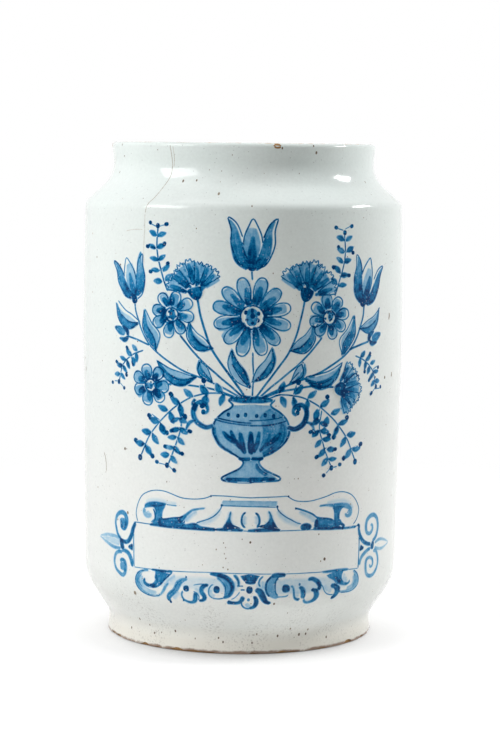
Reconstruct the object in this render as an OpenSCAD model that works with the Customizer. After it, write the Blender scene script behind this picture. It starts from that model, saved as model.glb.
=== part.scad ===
// Albarello: a wheel-thrown, tin-glazed drug jar with a straight body and a short neck.
// The foot stands on z = 0, the axis is Z, and the painted front faces -Y.
// One fired clay body carries two glaze coats, poured inside and outside, that meet on the lip.

/* [Overall] */
// Height from the standing ring to the top of the lip
jar_h = 280; // [230:1:320]

/* [Foot] */
// Radius at the bottom of the foot, over the glaze
foot_r = 76.2; // [66:0.2:80]
// How much the foot draws in from its bottom to its top
foot_taper = 0.9; // [0:0.1:4]
// Height of the foot, up to where the heel springs from it
foot_h = 11; // [6:0.5:18]
// Fillet between the foot and the heel
foot_fillet = 10; // [2:0.5:14]
// Height of the band of bare clay under the outside glaze
bare_h = 1.6; // [1:0.1:4]
// Rounding of the foot's bottom edge
edge_round = 1; // [0.5:0.1:1.6]
// Width of the flat ring that the jar stands on
ring_w = 15; // [8:0.5:24]
// Depth of the hollow under the base
recess_d = 3; // [1:0.5:6]
// Run of the sloping side of that hollow
recess_run = 8; // [4:0.5:16]

/* [Body] */
// Radius of the belly where its two long tapers would meet
belly_r = 91.8; // [84:0.2:100]
// Height of that place
belly_z = 175; // [120:1:185]
// Radius of the long curve that blends the two tapers
belly_round = 1700; // [400:50:3000]
// How much the body draws in from the belly down to the heel
heel_draw = 2.2; // [0:0.1:6]
// Height of the sloping heel above the foot
heel_h = 22; // [14:0.5:34]
// Rounding between the heel and the body
heel_round = 27; // [4:1:36]
// How much the body draws in from the belly up to the shoulder
shoulder_draw = 1.3; // [0:0.1:6]

/* [Shoulder and neck] */
// Height of the sloping shoulder
shoulder_h = 15.4; // [10:0.2:28]
// Rounding of the shoulder's edge
shoulder_round = 6; // [2:0.5:14]
// Radius of the neck at its foot, over the glaze
neck_r = 73.2; // [66:0.2:78]
// Height from the foot of the neck to the top of the lip
neck_h = 18.4; // [13:0.2:28]
// Fillet between the shoulder and the neck
neck_fillet = 18; // [2:0.5:24]
// How much the neck flares out to the rim
rim_flare = 2.2; // [0:0.1:4]
// Rounding of the lip on the outside
lip_round = 2.2; // [1:0.1:5]
// Rounding of the lip on the inside
mouth_round = 3; // [0.5:0.1:4]

/* [Wall and glaze] */
// Thickness of the clay in the body and the shoulder
wall_t = 7; // [5:0.5:10]
// Thickness of the clay in the neck
neck_wall_t = 6; // [5:0.2:8]
// Thickness of the clay in the middle of the floor
floor_t = 9; // [6:0.5:14]
// Thickness of each glaze coat
glaze_t = 0.6; // [0.3:0.1:1.2]
// Rounding of the inside at the neck, the shoulder and the heel
inside_round = 14; // [4:1:20]
// Rounding of the inside where the wall meets the floor
floor_round = 16; // [4:1:24]

/* [Hidden] */
$fn = 180;
// Straight pieces that make up each rounded corner
arc_steps = 8;
// Share of a side that a rounding may take, where its neighbour is sharp
sharp_share = 0.98;

foot_top_r = foot_r - foot_taper;
bare_r = foot_r - foot_taper * bare_h / foot_h;
heel_r = belly_r - heel_draw;
heel_z = foot_h + heel_h;
shoulder_r = belly_r - shoulder_draw;
neck_z = jar_h - neck_h;
shoulder_z = neck_z - shoulder_h;
rim_r = neck_r + rim_flare;
mouth_r = neck_r - neck_wall_t - 2 * glaze_t;
// The coats meet where the two roundings leave the lip flat
seam_r = (mouth_r + mouth_round + rim_r - lip_round) / 2;
floor_z = recess_d + floor_t + glaze_t;
ring_in_r = foot_r - glaze_t - ring_w;

// A path is a list of corners [radius, height, rounding].
// It runs up the outside, over the lip and down the inside, with the clay always on its left.

// Direction from corner a to corner b
function toward(a, b) =
    let (step = [b[0] - a[0], b[1] - a[1]])
    step / norm(step);

// Direction square to d, into the clay
function into_clay(d) = [-d[1], d[0]];

// Direction d turned by an angle
function turned(d, angle) =
    [d[0] * cos(angle) - d[1] * sin(angle), d[0] * sin(angle) + d[1] * cos(angle)];

// Angle from direction d to direction e, positive to the left
function turn(d, e) = atan2(d[0] * e[1] - d[1] * e[0], d * e);

// Length of the side from corner p to corner q that a rounding at p may take
function room(p, q) =
    norm([q[0] - p[0], q[1] - p[1]]) * (q[2] > 0 ? sharp_share / 2 : sharp_share);

// Points of the arc that rounds corner p between its neighbours a and b
function corner_arc(a, p, b) =
    let (
        d = toward(a, p),
        angle = turn(d, toward(p, b)),
        half_tan = tan(abs(angle) / 2),
        reach = min(p[2] * half_tan, room(p, a), room(p, b)),
        spoke = into_clay(d) * sign(angle) * reach / half_tan,
        centre = [p[0], p[1]] - d * reach + spoke
    )
    [for (i = [0:arc_steps]) centre - turned(spoke, angle * i / arc_steps)];

// Points of a path, with its corners rounded
function rounded(path) = [
    for (i = [0:len(path) - 1])
        each path[i][2] > 0 ? corner_arc(path[i - 1], path[i], path[i + 1]) : [[path[i][0], path[i][1]]]
];

// The path that runs at distance t inside another, with its roundings on the same centres
function parallel(path, t) = [
    for (i = [0:len(path) - 1])
        let (
            d = i == 0 ? toward(path[0], path[1]) : toward(path[i - 1], path[i]),
            e = i == len(path) - 1 ? d : toward(path[i], path[i + 1]),
            m = into_clay(d),
            n = into_clay(e),
            place = [path[i][0], path[i][1]] + (m + n) * t / (1 + m * n),
            rounding = path[i][2] > 0 ? max(path[i][2] - sign(turn(d, e)) * t, 0) : 0
        )
        [place[0], place[1], rounding]
];

// Height at radius r, and radius at height z, on the line through corners a and b
function height_at(a, b, r) = a[1] + (b[1] - a[1]) * (r - a[0]) / (b[0] - a[0]);
function radius_at(a, b, z) = a[0] + (b[0] - a[0]) * (z - a[1]) / (b[1] - a[1]);

function reversed(points) = [for (i = [len(points) - 1:-1:0]) points[i]];

// The outside, from the lower edge of the glaze to the seam on the lip
foot_corner = [foot_top_r, foot_h, foot_fillet];
heel_corner = [heel_r, heel_z, heel_round];
belly_corner = [belly_r, belly_z, belly_round];
shoulder_corner = [shoulder_r, shoulder_z, shoulder_round];
neck_corner = [neck_r, neck_z, neck_fillet];
outside = [
    [bare_r, bare_h, 0],
    foot_corner,
    heel_corner,
    belly_corner,
    shoulder_corner,
    neck_corner,
    [rim_r, jar_h, lip_round],
    [seam_r, jar_h, 0]
];

// The inside wall runs parallel to the outside, up to the straight neck and down to the flat floor
wall_line = parallel([foot_corner, heel_corner, belly_corner, shoulder_corner, neck_corner],
    wall_t + 2 * glaze_t);
foot_in = wall_line[0];
heel_in = wall_line[1];
belly_in = wall_line[2];
shoulder_in = wall_line[3];
neck_in = wall_line[4];
inside = [
    [seam_r, jar_h, 0],
    [mouth_r, jar_h, mouth_round],
    [mouth_r, height_at(shoulder_in, neck_in, mouth_r), inside_round],
    [shoulder_in[0], shoulder_in[1], inside_round],
    belly_in,
    [heel_in[0], heel_in[1], inside_round],
    [radius_at(foot_in, heel_in, floor_z), floor_z, floor_round],
    [0, floor_z, 0]
];

// The clay under the two coats
outside_clay = parallel(outside, glaze_t);
inside_clay = parallel(inside, glaze_t);

// The bare base, from the axis out to the lower edge of the glaze
base = [
    [0, recess_d, 0],
    [ring_in_r - recess_run, recess_d, recess_run],
    [ring_in_r, 0, recess_d],
    [foot_r - glaze_t, 0, edge_round],
    outside_clay[0]
];

// A coat of glaze on a path
module coat(path) {
    rotate_extrude()
        polygon(concat(rounded(path), reversed(rounded(parallel(path, glaze_t)))));
}

// The fired body, thrown in one piece, with its foot left bare
module clay_body() {
    color("#d8b48a")
        rotate_extrude()
            polygon(concat(
                rounded(outside_clay),
                [for (i = [1:len(rounded(inside_clay)) - 1]) rounded(inside_clay)[i]],
                [for (i = [0:len(rounded(base)) - 2]) rounded(base)[i]]
            ));
}

// The white coat outside, from the foot's bare band up to the lip
module outer_glaze() {
    color("#edf1ef")
        coat(outside);
}

// The white coat inside, from the lip down over the floor
module inner_glaze() {
    color("#e6ebe8")
        coat(inside);
}

clay_body();
outer_glaze();
inner_glaze();
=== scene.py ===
"""Looks of an albarello, a wheel-thrown and tin-glazed drug jar painted in cobalt blue.

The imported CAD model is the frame. Its three turned solids are sectioned, spun again with the
unevenness of hand-thrown ware, and painted stroke by stroke with thin films of blue.
"""

import functools
import itertools
import math
import random
from collections import namedtuple

import bmesh
import bpy
from mathutils import Matrix, Vector, noise
from mathutils.bvhtree import BVHTree


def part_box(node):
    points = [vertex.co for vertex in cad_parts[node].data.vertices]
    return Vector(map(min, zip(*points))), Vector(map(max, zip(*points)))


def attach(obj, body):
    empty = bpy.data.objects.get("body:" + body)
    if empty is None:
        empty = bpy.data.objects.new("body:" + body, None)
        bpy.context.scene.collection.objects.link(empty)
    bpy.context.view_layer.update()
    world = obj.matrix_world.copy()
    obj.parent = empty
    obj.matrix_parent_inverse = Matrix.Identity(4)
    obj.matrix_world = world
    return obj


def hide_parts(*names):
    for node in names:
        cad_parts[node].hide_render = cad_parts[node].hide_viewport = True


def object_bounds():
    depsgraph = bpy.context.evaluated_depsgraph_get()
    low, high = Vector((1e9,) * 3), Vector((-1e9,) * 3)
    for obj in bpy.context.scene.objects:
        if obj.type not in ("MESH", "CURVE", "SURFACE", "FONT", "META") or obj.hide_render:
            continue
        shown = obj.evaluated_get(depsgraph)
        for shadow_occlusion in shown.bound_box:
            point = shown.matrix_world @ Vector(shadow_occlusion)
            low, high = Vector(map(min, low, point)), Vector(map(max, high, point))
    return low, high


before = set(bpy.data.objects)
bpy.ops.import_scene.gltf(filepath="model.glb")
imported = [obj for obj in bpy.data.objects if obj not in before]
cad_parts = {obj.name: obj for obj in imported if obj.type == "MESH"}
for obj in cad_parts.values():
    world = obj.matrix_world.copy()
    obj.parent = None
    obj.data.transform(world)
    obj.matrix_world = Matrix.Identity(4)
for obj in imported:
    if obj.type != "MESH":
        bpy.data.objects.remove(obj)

bl_info = {
    "name": "Albarello",
    "version": (1, 0, 0),
    "blender": (4, 5, 0),
    "location": "3D View > Sidebar > Albarello",
    "description": "Dresses the CAD model of a tin-glazed drug jar: clay, glaze, painting and wear",
    "category": "Object",
}

MM = 0.001
CAD_BOX = [list(shadow_occlusion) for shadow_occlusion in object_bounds()]
JAR_H = CAD_BOX[1][2]
BODY_R = CAD_BOX[1][0]
GLAZE_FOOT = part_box("outer_glaze")[0].z

# Points closer than this are one point, in metres
SAME_POINT = 1e-6
# Slices that make up a full turn of the wheel
SLICES = 15
# A corner of a section that opens wider than the first is eased; a crease over the second stays sharp
EASY_BEND = math.radians(140)
CREASE = math.radians(50)
# Longest edges along the sections of the clay and of the two coats
CLAY_EDGE = 4 * MM
OUTSIDE_EDGE = 2.7 * MM
INSIDE_EDGE = 3.2 * MM
# Height of the band above the foot in which the glaze's edge is ragged
RAGGED_BAND = 6 * MM

# Strokes are placed on the unrolled wall: x runs round the jar at this radius, in millimetres
WALL_MM = 90.0
# How far the cobalt of a line, a wash and a tint soaks into the glaze at its edge, in millimetres
LINE_SOAK = 0.36
WASH_SOAK = 0.8
TINT_SOAK = 2
# How far one stroke lies above another, in millimetres
LAYER = 0.008
# The widest lane and the longest row of a stroke's sheet, in millimetres
LANE = 2
ROW = 1
# The step at which strokes are noted on the wall, in millimetres
CELL = 0.5
# Steps of the smooth line between two points of a stroke, and the fewest rows of its sheet
FINE_STEPS = 10
LEAST_ROWS = 6
# The narrowest half of a stroke, and of the part of it that isn't soaked, in millimetres
LEAST_HALF = 0.1
LEAST_CORE = 0.06
# Keeps a length of zero from dividing, in millimetres
LEAST_RUN = 1e-6
# How much of the colour below shows through a stroke
SHOW_THROUGH = 0.3
# How much of a stroke's film stands above the glaze
PROUD = 0.2

# Seeds of the random draws
LABEL_SEED = 0
BOUQUET_SEED = 20
SCATTER_SEED = 7
SPECK_SEED = 30
CRACK_SEED = 31
CHIP_SEED = 32
# How far the brush strays on the label, the crack from its line and a chip from its place, in millimetres
LABEL_FREEDOM = 0.12
CRACK_FREEDOM = 0.15
CHIP_FREEDOM = 0.2

# The studio, in metres: the floor, and where each lamp hangs with its width and height
FLOOR_R = 0.8
FLOOR_SIDES = 96
LAMPS = {
    "key": ((-1.17, -0.66, 0.98), (0.86, 0.64)),
    "fill": ((1.21, 0.28, 1.0), (0.42, 0.15)),
    "top": ((-0.5, -0.5, 1.4), (1.2, 1.2)),
}
# Long side of the camera's sensor, in millimetres
SENSOR = 36


# Settings


def linear(colour):
    """Linear RGBA of an sRGB hex colour."""
    channels = [int(colour[i:i + 2], 16) / 255 for i in (1, 3, 5)]
    return (*[c / 12.92 if c <= 0.04045 else ((c + 0.055) / 1.055) ** 2.4 for c in channels], 1.0)


def shade(name, about, colour):
    """A colour that a user would change."""
    return bpy.props.FloatVectorProperty(
        name=name, description=about, subtype="COLOR", size=4, min=0, max=1, default=linear(colour))


def length(name, about, default, least, most):
    """A length, in metres."""
    return bpy.props.FloatProperty(
        name=name, description=about, default=default, min=least, max=most,
        subtype="DISTANCE", unit="LENGTH", precision=5)


def tilt(name, about, degrees, most):
    """An angle of the camera, to either side."""
    return bpy.props.FloatProperty(
        name=name, description=about, default=math.radians(degrees), min=-most, max=most,
        subtype="ANGLE", unit="ROTATION")


def power(name, about, default):
    """The power of a lamp."""
    return bpy.props.FloatProperty(
        name=name, description=about, default=default, min=0, max=200, unit="POWER")


class AlbarelloThrowing(bpy.types.PropertyGroup):
    """How far the thrown jar departs from a true turned shape."""

    oval: length("Oval", "How far the jar is out of round", 0.2 * MM, 0, 1 * MM)
    ridges: length("Finger ridges", "Height of the faint rings that the fingers left", 0.05 * MM, 0, 0.5 * MM)
    lean: length(
        "Lean", "How far the middle of the body stands to the right of the foot and the rim",
        0.5 * MM, 0, 2 * MM)
    ragged: length("Ragged edge", "How far the glaze stops short at the foot, in places", 2.4 * MM, 0, 5 * MM)
    steps: bpy.props.IntProperty(
        name="Steps", description="Steps of a full turn of the wheel", default=240, min=60, max=300, step=15)


class AlbarelloFinish(bpy.types.PropertyGroup):
    """Colours and gloss of the clay, the glaze and the blue."""

    white: shade("Glaze", "Tin glaze on the body", "#f1f2ef")
    # A blue-green white, mixed in more towards the top of the outside and in clouds inside
    cool: shade("Cool glaze", "Tin glaze where it lies thick and looks a little blue-green", "#ebf4f1")
    warm: shade("Warm glaze", "Tin glaze stained by the clay near the foot", "#ece9df")
    clay: shade("Clay", "Bare fired clay", "#c49a62")
    clay_dark: shade("Dark clay", "Fired clay where it is dirty or burnt", "#7d5434")
    grime: shade("Grime", "Dirt in cracks, pits and along the foot", "#4d3b2e")
    blue_faint: shade("Faint blue", "Cobalt where the brush ran dry", "#a4cbe2")
    blue_pale: shade("Pale blue", "A thin wash of cobalt", "#66a5cd")
    blue_mid: shade("Middle blue", "A full wash of cobalt", "#1f80b5")
    blue_dark: shade("Dark blue", "Cobalt laid twice", "#005a90")
    blue_deep: shade("Deep blue", "Cobalt pooled at the end of a stroke", "#00376a")
    roughness: bpy.props.FloatProperty(
        name="Roughness", description="Roughness of the fired glaze",
        default=0.085, min=0, max=1, subtype="FACTOR")


class AlbarelloPainting(bpy.types.PropertyGroup):
    """Where the painting sits and how freely the brush moved."""

    centre: bpy.props.FloatProperty(
        name="Centre", description="Distance of the bouquet's middle from the front, round the wall, in mm",
        default=5.5, min=-40, max=40)
    slope: bpy.props.FloatProperty(
        name="Slope", description="Rise of the bouquet to the right", default=-0.0135, min=-0.1, max=0.1)
    film: length("Film", "Thickness of the film that stands for a stroke", 0.16 * MM, 0.05 * MM, 0.5 * MM)
    freedom: bpy.props.FloatProperty(
        name="Freedom", description="How far a stroke of the bouquet strays from its place, in mm",
        default=0.45, min=0, max=2)


class AlbarelloStage(bpy.types.PropertyGroup):
    """Camera and light of the studio."""

    distance: length("Distance", "Camera's distance from the jar's axis", 1.303, 0.3, 5)
    eye: length("Eye height", "Camera's height above the floor", 0.278, 0, 3)
    aside: length("Aside", "Camera's place to the right of the jar's axis", 0.00485, -1, 1)
    pitch: tilt("Pitch", "How far the camera looks down", 5.745, 1.5)
    roll: tilt("Roll", "How far the camera is turned about its own view", 0.623, 0.5)
    lens: bpy.props.FloatProperty(
        name="Lens", description="Focal length on a sensor 36 mm high",
        default=109.03, min=20, max=300, unit="CAMERA")
    key: power("Key light", "Power of the large soft light at the left", 14.3)
    fill: power("Fill light", "Power of the long, thin light at the right", 14.4)
    top: power("Top light", "Power of the soft light overhead", 6.4)
    ambient: bpy.props.FloatProperty(
        name="Ambient", description="Light of the white room", default=0.33, min=0, max=2)


# Turned shapes


def half_section(node):
    """The section of a CAD node on the half plane that faces the front, as a wire of edges."""
    bm = bmesh.new()
    bm.from_mesh(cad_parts[node].data)
    bmesh.ops.remove_doubles(bm, verts=bm.verts, dist=SAME_POINT)
    for normal, clear_inner in (((0, 1, 0), False), ((1, 0, 0), True)):
        bmesh.ops.bisect_plane(
            bm, geom=[*bm.verts, *bm.edges, *bm.faces], dist=SAME_POINT / 10, plane_co=(0, 0, 0),
            plane_no=normal, clear_outer=True, clear_inner=clear_inner)
    return bm


def even_out(bm, longest, rounds=3):
    """Cuts the long edges of a section and eases its rounded corners, while its sharp ends stay."""
    for edge in [e for e in bm.edges if e.calc_length() > longest]:
        bmesh.ops.subdivide_edges(bm, edges=[edge], cuts=math.ceil(edge.calc_length() / longest) - 1)
    for _ in range(rounds):
        easy = []
        for vert in bm.verts:
            if len(vert.link_edges) == 2:
                before, after = [e.other_vert(vert).co - vert.co for e in vert.link_edges]
                if before.angle(after, 0) > EASY_BEND:
                    easy.append(vert)
        bmesh.ops.smooth_vert(
            bm, verts=easy, factor=0.5, use_axis_x=True, use_axis_y=True, use_axis_z=True)


def spin_section(bm, steps):
    """Turns a section into a closed solid about the jar's axis: one slice first, then its copies round."""
    about = dict(cent=(0, 0, 0), axis=(0, 0, 1))
    bmesh.ops.spin(bm, geom=[*bm.verts, *bm.edges], angle=math.tau / SLICES, steps=steps // SLICES, **about)
    bmesh.ops.spin(
        bm, geom=[*bm.verts, *bm.edges, *bm.faces], angle=math.tau * (SLICES - 1) / SLICES, steps=SLICES - 1,
        use_duplicate=True, **about)
    bmesh.ops.remove_doubles(bm, verts=bm.verts, dist=SAME_POINT)
    bmesh.ops.recalc_face_normals(bm, faces=bm.faces)


def turned(node, longest, steps):
    """A CAD node turned again as an even mesh, with no edge along its section over longest."""
    bm = half_section(node)
    even_out(bm, longest)
    spin_section(bm, steps)
    return bm


def throw(bm, hands):
    """Moves each point of the true shape to where the potter's hands left it.

    The jar is a little oval and a little three-sided, which twists on the way up, and has shallow dents
    and finger ridges. The standing ring and the middle of the floor stay true."""
    for vert in bm.verts:
        radius = math.hypot(vert.co.x, vert.co.y)
        if radius < MM:
            continue
        turn = math.atan2(vert.co.x, -vert.co.y)
        level = vert.co.z / JAR_H
        oval = 0.6 * math.sin(2 * turn + 0.9 + 1.3 * level)
        three_sided = 0.4 * math.sin(3 * turn - 0.6 + 4 * level)
        dents = 0.6 * noise.noise(vert.co * 28)
        ridges = math.sin(level * 150 + 1.5 * math.sin(turn))
        out = hands.oval * (oval + three_sided + dents) + hands.ridges * ridges
        ease = min(1, radius / (40 * MM)) * min(1, vert.co.z / (4 * MM))
        vert.co.xy *= 1 + out * ease / radius
        vert.co.x += hands.lean * math.sin(math.pi * level) * ease


def ragged_edge(bm, depth):
    """Lets the lower edge of the outside glaze stop short in places, and run down in others."""
    for vert in bm.verts:
        near = max(0, 1 - (vert.co.z - GLAZE_FOOT) / RAGGED_BAND)
        if near:
            gap = 1.8 * noise.fractal(vert.co.xy.to_3d() * 70, 1.0, 2.0, 3) - 0.25
            vert.co.z += depth * near * max(-0.45, min(1, gap))


def finish_piece(bm, name, material, slot, replaced=(), film=0):
    """Makes a bmesh a piece of the jar, that rides on its one body; an open sheet becomes a closed film."""
    mesh = bpy.data.meshes.new(name)
    bm.to_mesh(mesh)
    bm.free()
    mesh.shade_smooth()
    mesh.materials.append(material)
    piece = bpy.data.objects.new(name, mesh)
    bpy.context.scene.collection.objects.link(piece)
    if film:
        solid = piece.modifiers.new("film", "SOLIDIFY")
        solid.thickness, solid.offset = film, -1
    else:
        mesh.set_sharp_from_angle(angle=CREASE)
    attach(piece, "root")
    if replaced:
        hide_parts(*replaced)


# Brush strokes

Stroke = namedtuple("Stroke", "points start end soak closed cap", defaults=(False, 1.0))


def wash(start, end, *points):
    """A loaded brush drawn through points (x, z, width); the tone runs from start to end."""
    return Stroke(points, start, end, WASH_SOAK)


def tint(tone, *points):
    """Thin colour that runs out on both sides of points (x, z, width)."""
    return Stroke(points, tone, tone, TINT_SOAK)


def line(width, tone, *points, closed=False):
    """A fine brush drawn through points (x, z), and back to the first where closed."""
    return Stroke([(x, z, width) for x, z in points], tone, tone, LINE_SOAK, closed)


def dot(x, z, radius, tone=0.95):
    """A touch of the brush's tip."""
    ends = [(x - radius, z, 2 * radius), (x + radius, z, 2 * radius)]
    return Stroke(ends, tone, tone, LINE_SOAK, cap=radius)


def placed(strokes, x=0, z=0, turn=0, flip=1):
    """Strokes drawn upwards from (0, 0), set at (x, z), turned clockwise, and mirrored where flip is -1."""
    c, s = math.cos(turn), math.sin(turn)
    for stroke in strokes:
        points = [(flip * (x + px * c + pz * s), z - px * s + pz * c, w) for px, pz, w in stroke.points]
        yield stroke._replace(points=points)


def smooth_line(stroke):
    """Close points (x, z, width) on the curve that passes smoothly through a stroke's own."""
    knots = [Vector(p) for p in stroke.points]
    if stroke.closed:
        knots = [knots[-1], *knots, knots[0], knots[1]]
    else:
        knots = [2 * knots[0] - knots[1], *knots, 2 * knots[-1] - knots[-2]]
    fine = []
    for a, b, c, d in zip(knots, knots[1:], knots[2:], knots[3:]):
        for k in range(FINE_STEPS):
            t = k / FINE_STEPS
            fine.append(0.5 * (2 * b + (c - a) * t + (2 * a - 5 * b + 4 * c - d) * t * t
                               + (3 * b - a - 3 * c + d) * t * t * t))
    return [*fine, knots[-2]]


def rows_of(stroke, spacing):
    """Even steps along the smooth line of a stroke: (place, half width, distance from the start)."""
    fine = smooth_line(stroke)
    run = [0.0]
    for a, b in zip(fine, fine[1:]):
        run.append(run[-1] + max((b - a).xy.length, LEAST_RUN))
    count = max(LEAST_ROWS, math.ceil(run[-1] / spacing))
    rows, k = [], 0
    for i in range(count + 1):
        distance = run[-1] * i / count
        while k < len(run) - 2 and run[k + 1] < distance:
            k += 1
        share = min(1, (distance - run[k]) / (run[k + 1] - run[k]))
        place = fine[k].lerp(fine[k + 1], share)
        half = max(LEAST_HALF, place.z / 2)
        if not stroke.closed:
            end = max(0, min(distance, run[-1] - distance))
            cap = min(half, stroke.cap)
            if end < cap:
                half *= max(0.1, math.sqrt(1 - (1 - end / cap) ** 2))
        rows.append((place.xy, half, distance))
    return rows


class Wall:
    """The glazed outside of the jar, as a surface to paint on."""

    def __init__(self):
        bm = bmesh.new()
        bm.from_mesh(bpy.data.objects["glaze_outside"].data)
        self.tree = BVHTree.FromBMesh(bm)
        bm.free()

    def point(self, x, z, lift):
        """The place on the wall at x, z in millimetres, lifted off it."""
        outward = Vector((math.sin(x / WALL_MM), -math.cos(x / WALL_MM), 0))
        hit, normal, _, _ = self.tree.ray_cast(outward * 2 * BODY_R + Vector((0, 0, z * MM)), -outward)
        if hit is None:
            raise RuntimeError(f"no wall at {x:.1f}, {z:.1f}")
        return hit + normal * lift


def brush(stroke, number, hand, freedom):
    """A stroke as the hand draws it: its rows, and (centre, way across, half width, tone) at each of them.

    The hand strays and sways, and the tone clouds along the way and pools at both ends of the stroke."""
    rows = rows_of(stroke, ROW)
    last = len(rows) - 1
    whole = rows[-1][2]
    stray = Vector((hand.gauss(0, freedom), hand.gauss(0, freedom)))
    strength = hand.gauss(0, 0.04)
    load = min(1, 2 * max(stroke.start, stroke.end))
    broad = 1 + hand.gauss(0, 0.2 * freedom)
    frames = []
    for i, (place, half, distance) in enumerate(rows):
        joined = stroke.closed and i in (0, last)
        along = rows[1 if joined else min(i + 1, last)][0] - rows[-2 if joined else max(i - 1, 0)][0]
        across = Vector((-along.y, along.x)).normalized()
        sway = noise.noise((distance / 9, number * 3.7, 0.5)) * freedom * 0.6
        tone = stroke.start + (stroke.end - stroke.start) * distance / max(whole, LEAST_RUN)
        clouds = 0.13 * noise.noise((distance / 5, number * 1.3, 7))
        pool = 0.14 * math.exp((distance - whole) / 1.6) + 0.07 * math.exp(-distance / 2)
        tone += load * (strength + clouds + pool)
        frames.append((place + stray + across * sway, across, half * broad, max(0, min(1, tone))))
    return rows, frames


def cell_of(spot):
    """The cell of the wall that a spot lies in."""
    return round(spot.x / CELL), round(spot.y / CELL)


def cover(stroke, frames, under):
    """The tone that a stroke leaves in each cell that it covers, and the layer that it lies in."""
    laid = {}
    top = 0
    for (start, across, half, tone), (end, *_) in zip(frames, frames[1:]):
        steps = math.ceil((half + stroke.soak) / CELL)
        for share, k in itertools.product((0, 0.33, 0.67), range(-steps, steps + 1)):
            cell = cell_of(start.lerp(end, share) + across * k * CELL)
            below, layer = under.get(cell, (0, 0))
            laid[cell] = min(1, tone + SHOW_THROUGH * below) if abs(k) * CELL <= half else below
            top = max(top, layer + 1)
    return laid, top


def lay_strokes(strokes, film, freedom, seed, under=None):
    """A bmesh of sheets on the wall, one for each stroke, in the order of painting.

    Two attributes go with each point: tone, the strength of the blue, and brush, its place along
    and across its stroke in millimetres. What lies where is noted in under, as tone and layer, so
    that each stroke lies over those before it and its soaked edge fades into them."""
    under = {} if under is None else under
    hand = random.Random(seed)
    wall = Wall()
    bm = bmesh.new()
    tone_layer = bm.verts.layers.float.new("tone")
    brush_layer = bm.verts.layers.float_vector.new("brush")
    for number, stroke in enumerate(strokes):
        rows, frames = brush(stroke, number, hand, freedom)
        laid, layer = cover(stroke, frames, under)
        lift = film * PROUD + LAYER * MM * layer
        last = len(rows) - 1
        core = max(2, 2 * math.ceil(max(half for _, _, half, _ in frames) / LANE))
        lanes = core + 2
        made = bmesh.ops.create_grid(bm, x_segments=last, y_segments=lanes, size=1)
        for vert in made["verts"]:
            i = round((vert.co.x + 1) / 2 * last)
            side = (2 * round((vert.co.y + 1) / 2 * lanes) - lanes) / core
            centre, across, half, tone = frames[i]
            soaked = abs(side) > 1
            if soaked:
                reach = math.copysign(half + stroke.soak / 2, side)
            else:
                reach = side * max(LEAST_CORE, half - stroke.soak / 2)
            spot = centre + across * reach
            below, _ = under.get(cell_of(spot), (0, 0))
            if soaked or i in (0, last) and not stroke.closed:
                vert[tone_layer] = below
            else:
                vert[tone_layer] = min(1, tone * (0.93 + 0.1 * abs(side)) + SHOW_THROUGH * below)
            vert[brush_layer] = (rows[i][2], reach, number)
            vert.co = wall.point(spot.x, spot.y, lift)
        under.update({cell: (tone, layer) for cell, tone in laid.items()})
    for edge in bm.edges:
        edge.smooth = not edge.is_boundary
    return bm


# The scrolled label at the bottom of the painting: its frame, crest, side volutes and lower scrolls

LABEL = (
    line(0.8, 0.48, (-63.3, 72), (-63.5, 66), (-63.6, 60), (-63.5, 53), (-63.3, 46.8)),
    line(0.8, 0.6, (73.3, 70.6), (73.9, 65), (74.2, 58), (74.1, 52), (73.7, 46)),
    line(0.45, 0.62, (-63.3, 72), (-45, 71.9), (-20, 71.7), (5.4, 71.2), (29.6, 71), (51.4, 70.6),
         (73.3, 70.2)),
    line(0.4, 0.6, (-63.3, 46.7), (-45, 46.9), (-30, 47.3), (-16, 47.8), (0, 47.6), (19.8, 47.2),
         (44.5, 46.8), (59.3, 46.5), (73.7, 46)),
    wash(0.7, 0.85, (71.7, 71.4, 1.0), (73.1, 70.4, 1.6), (73.7, 68.8, 0.8)),
)

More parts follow.
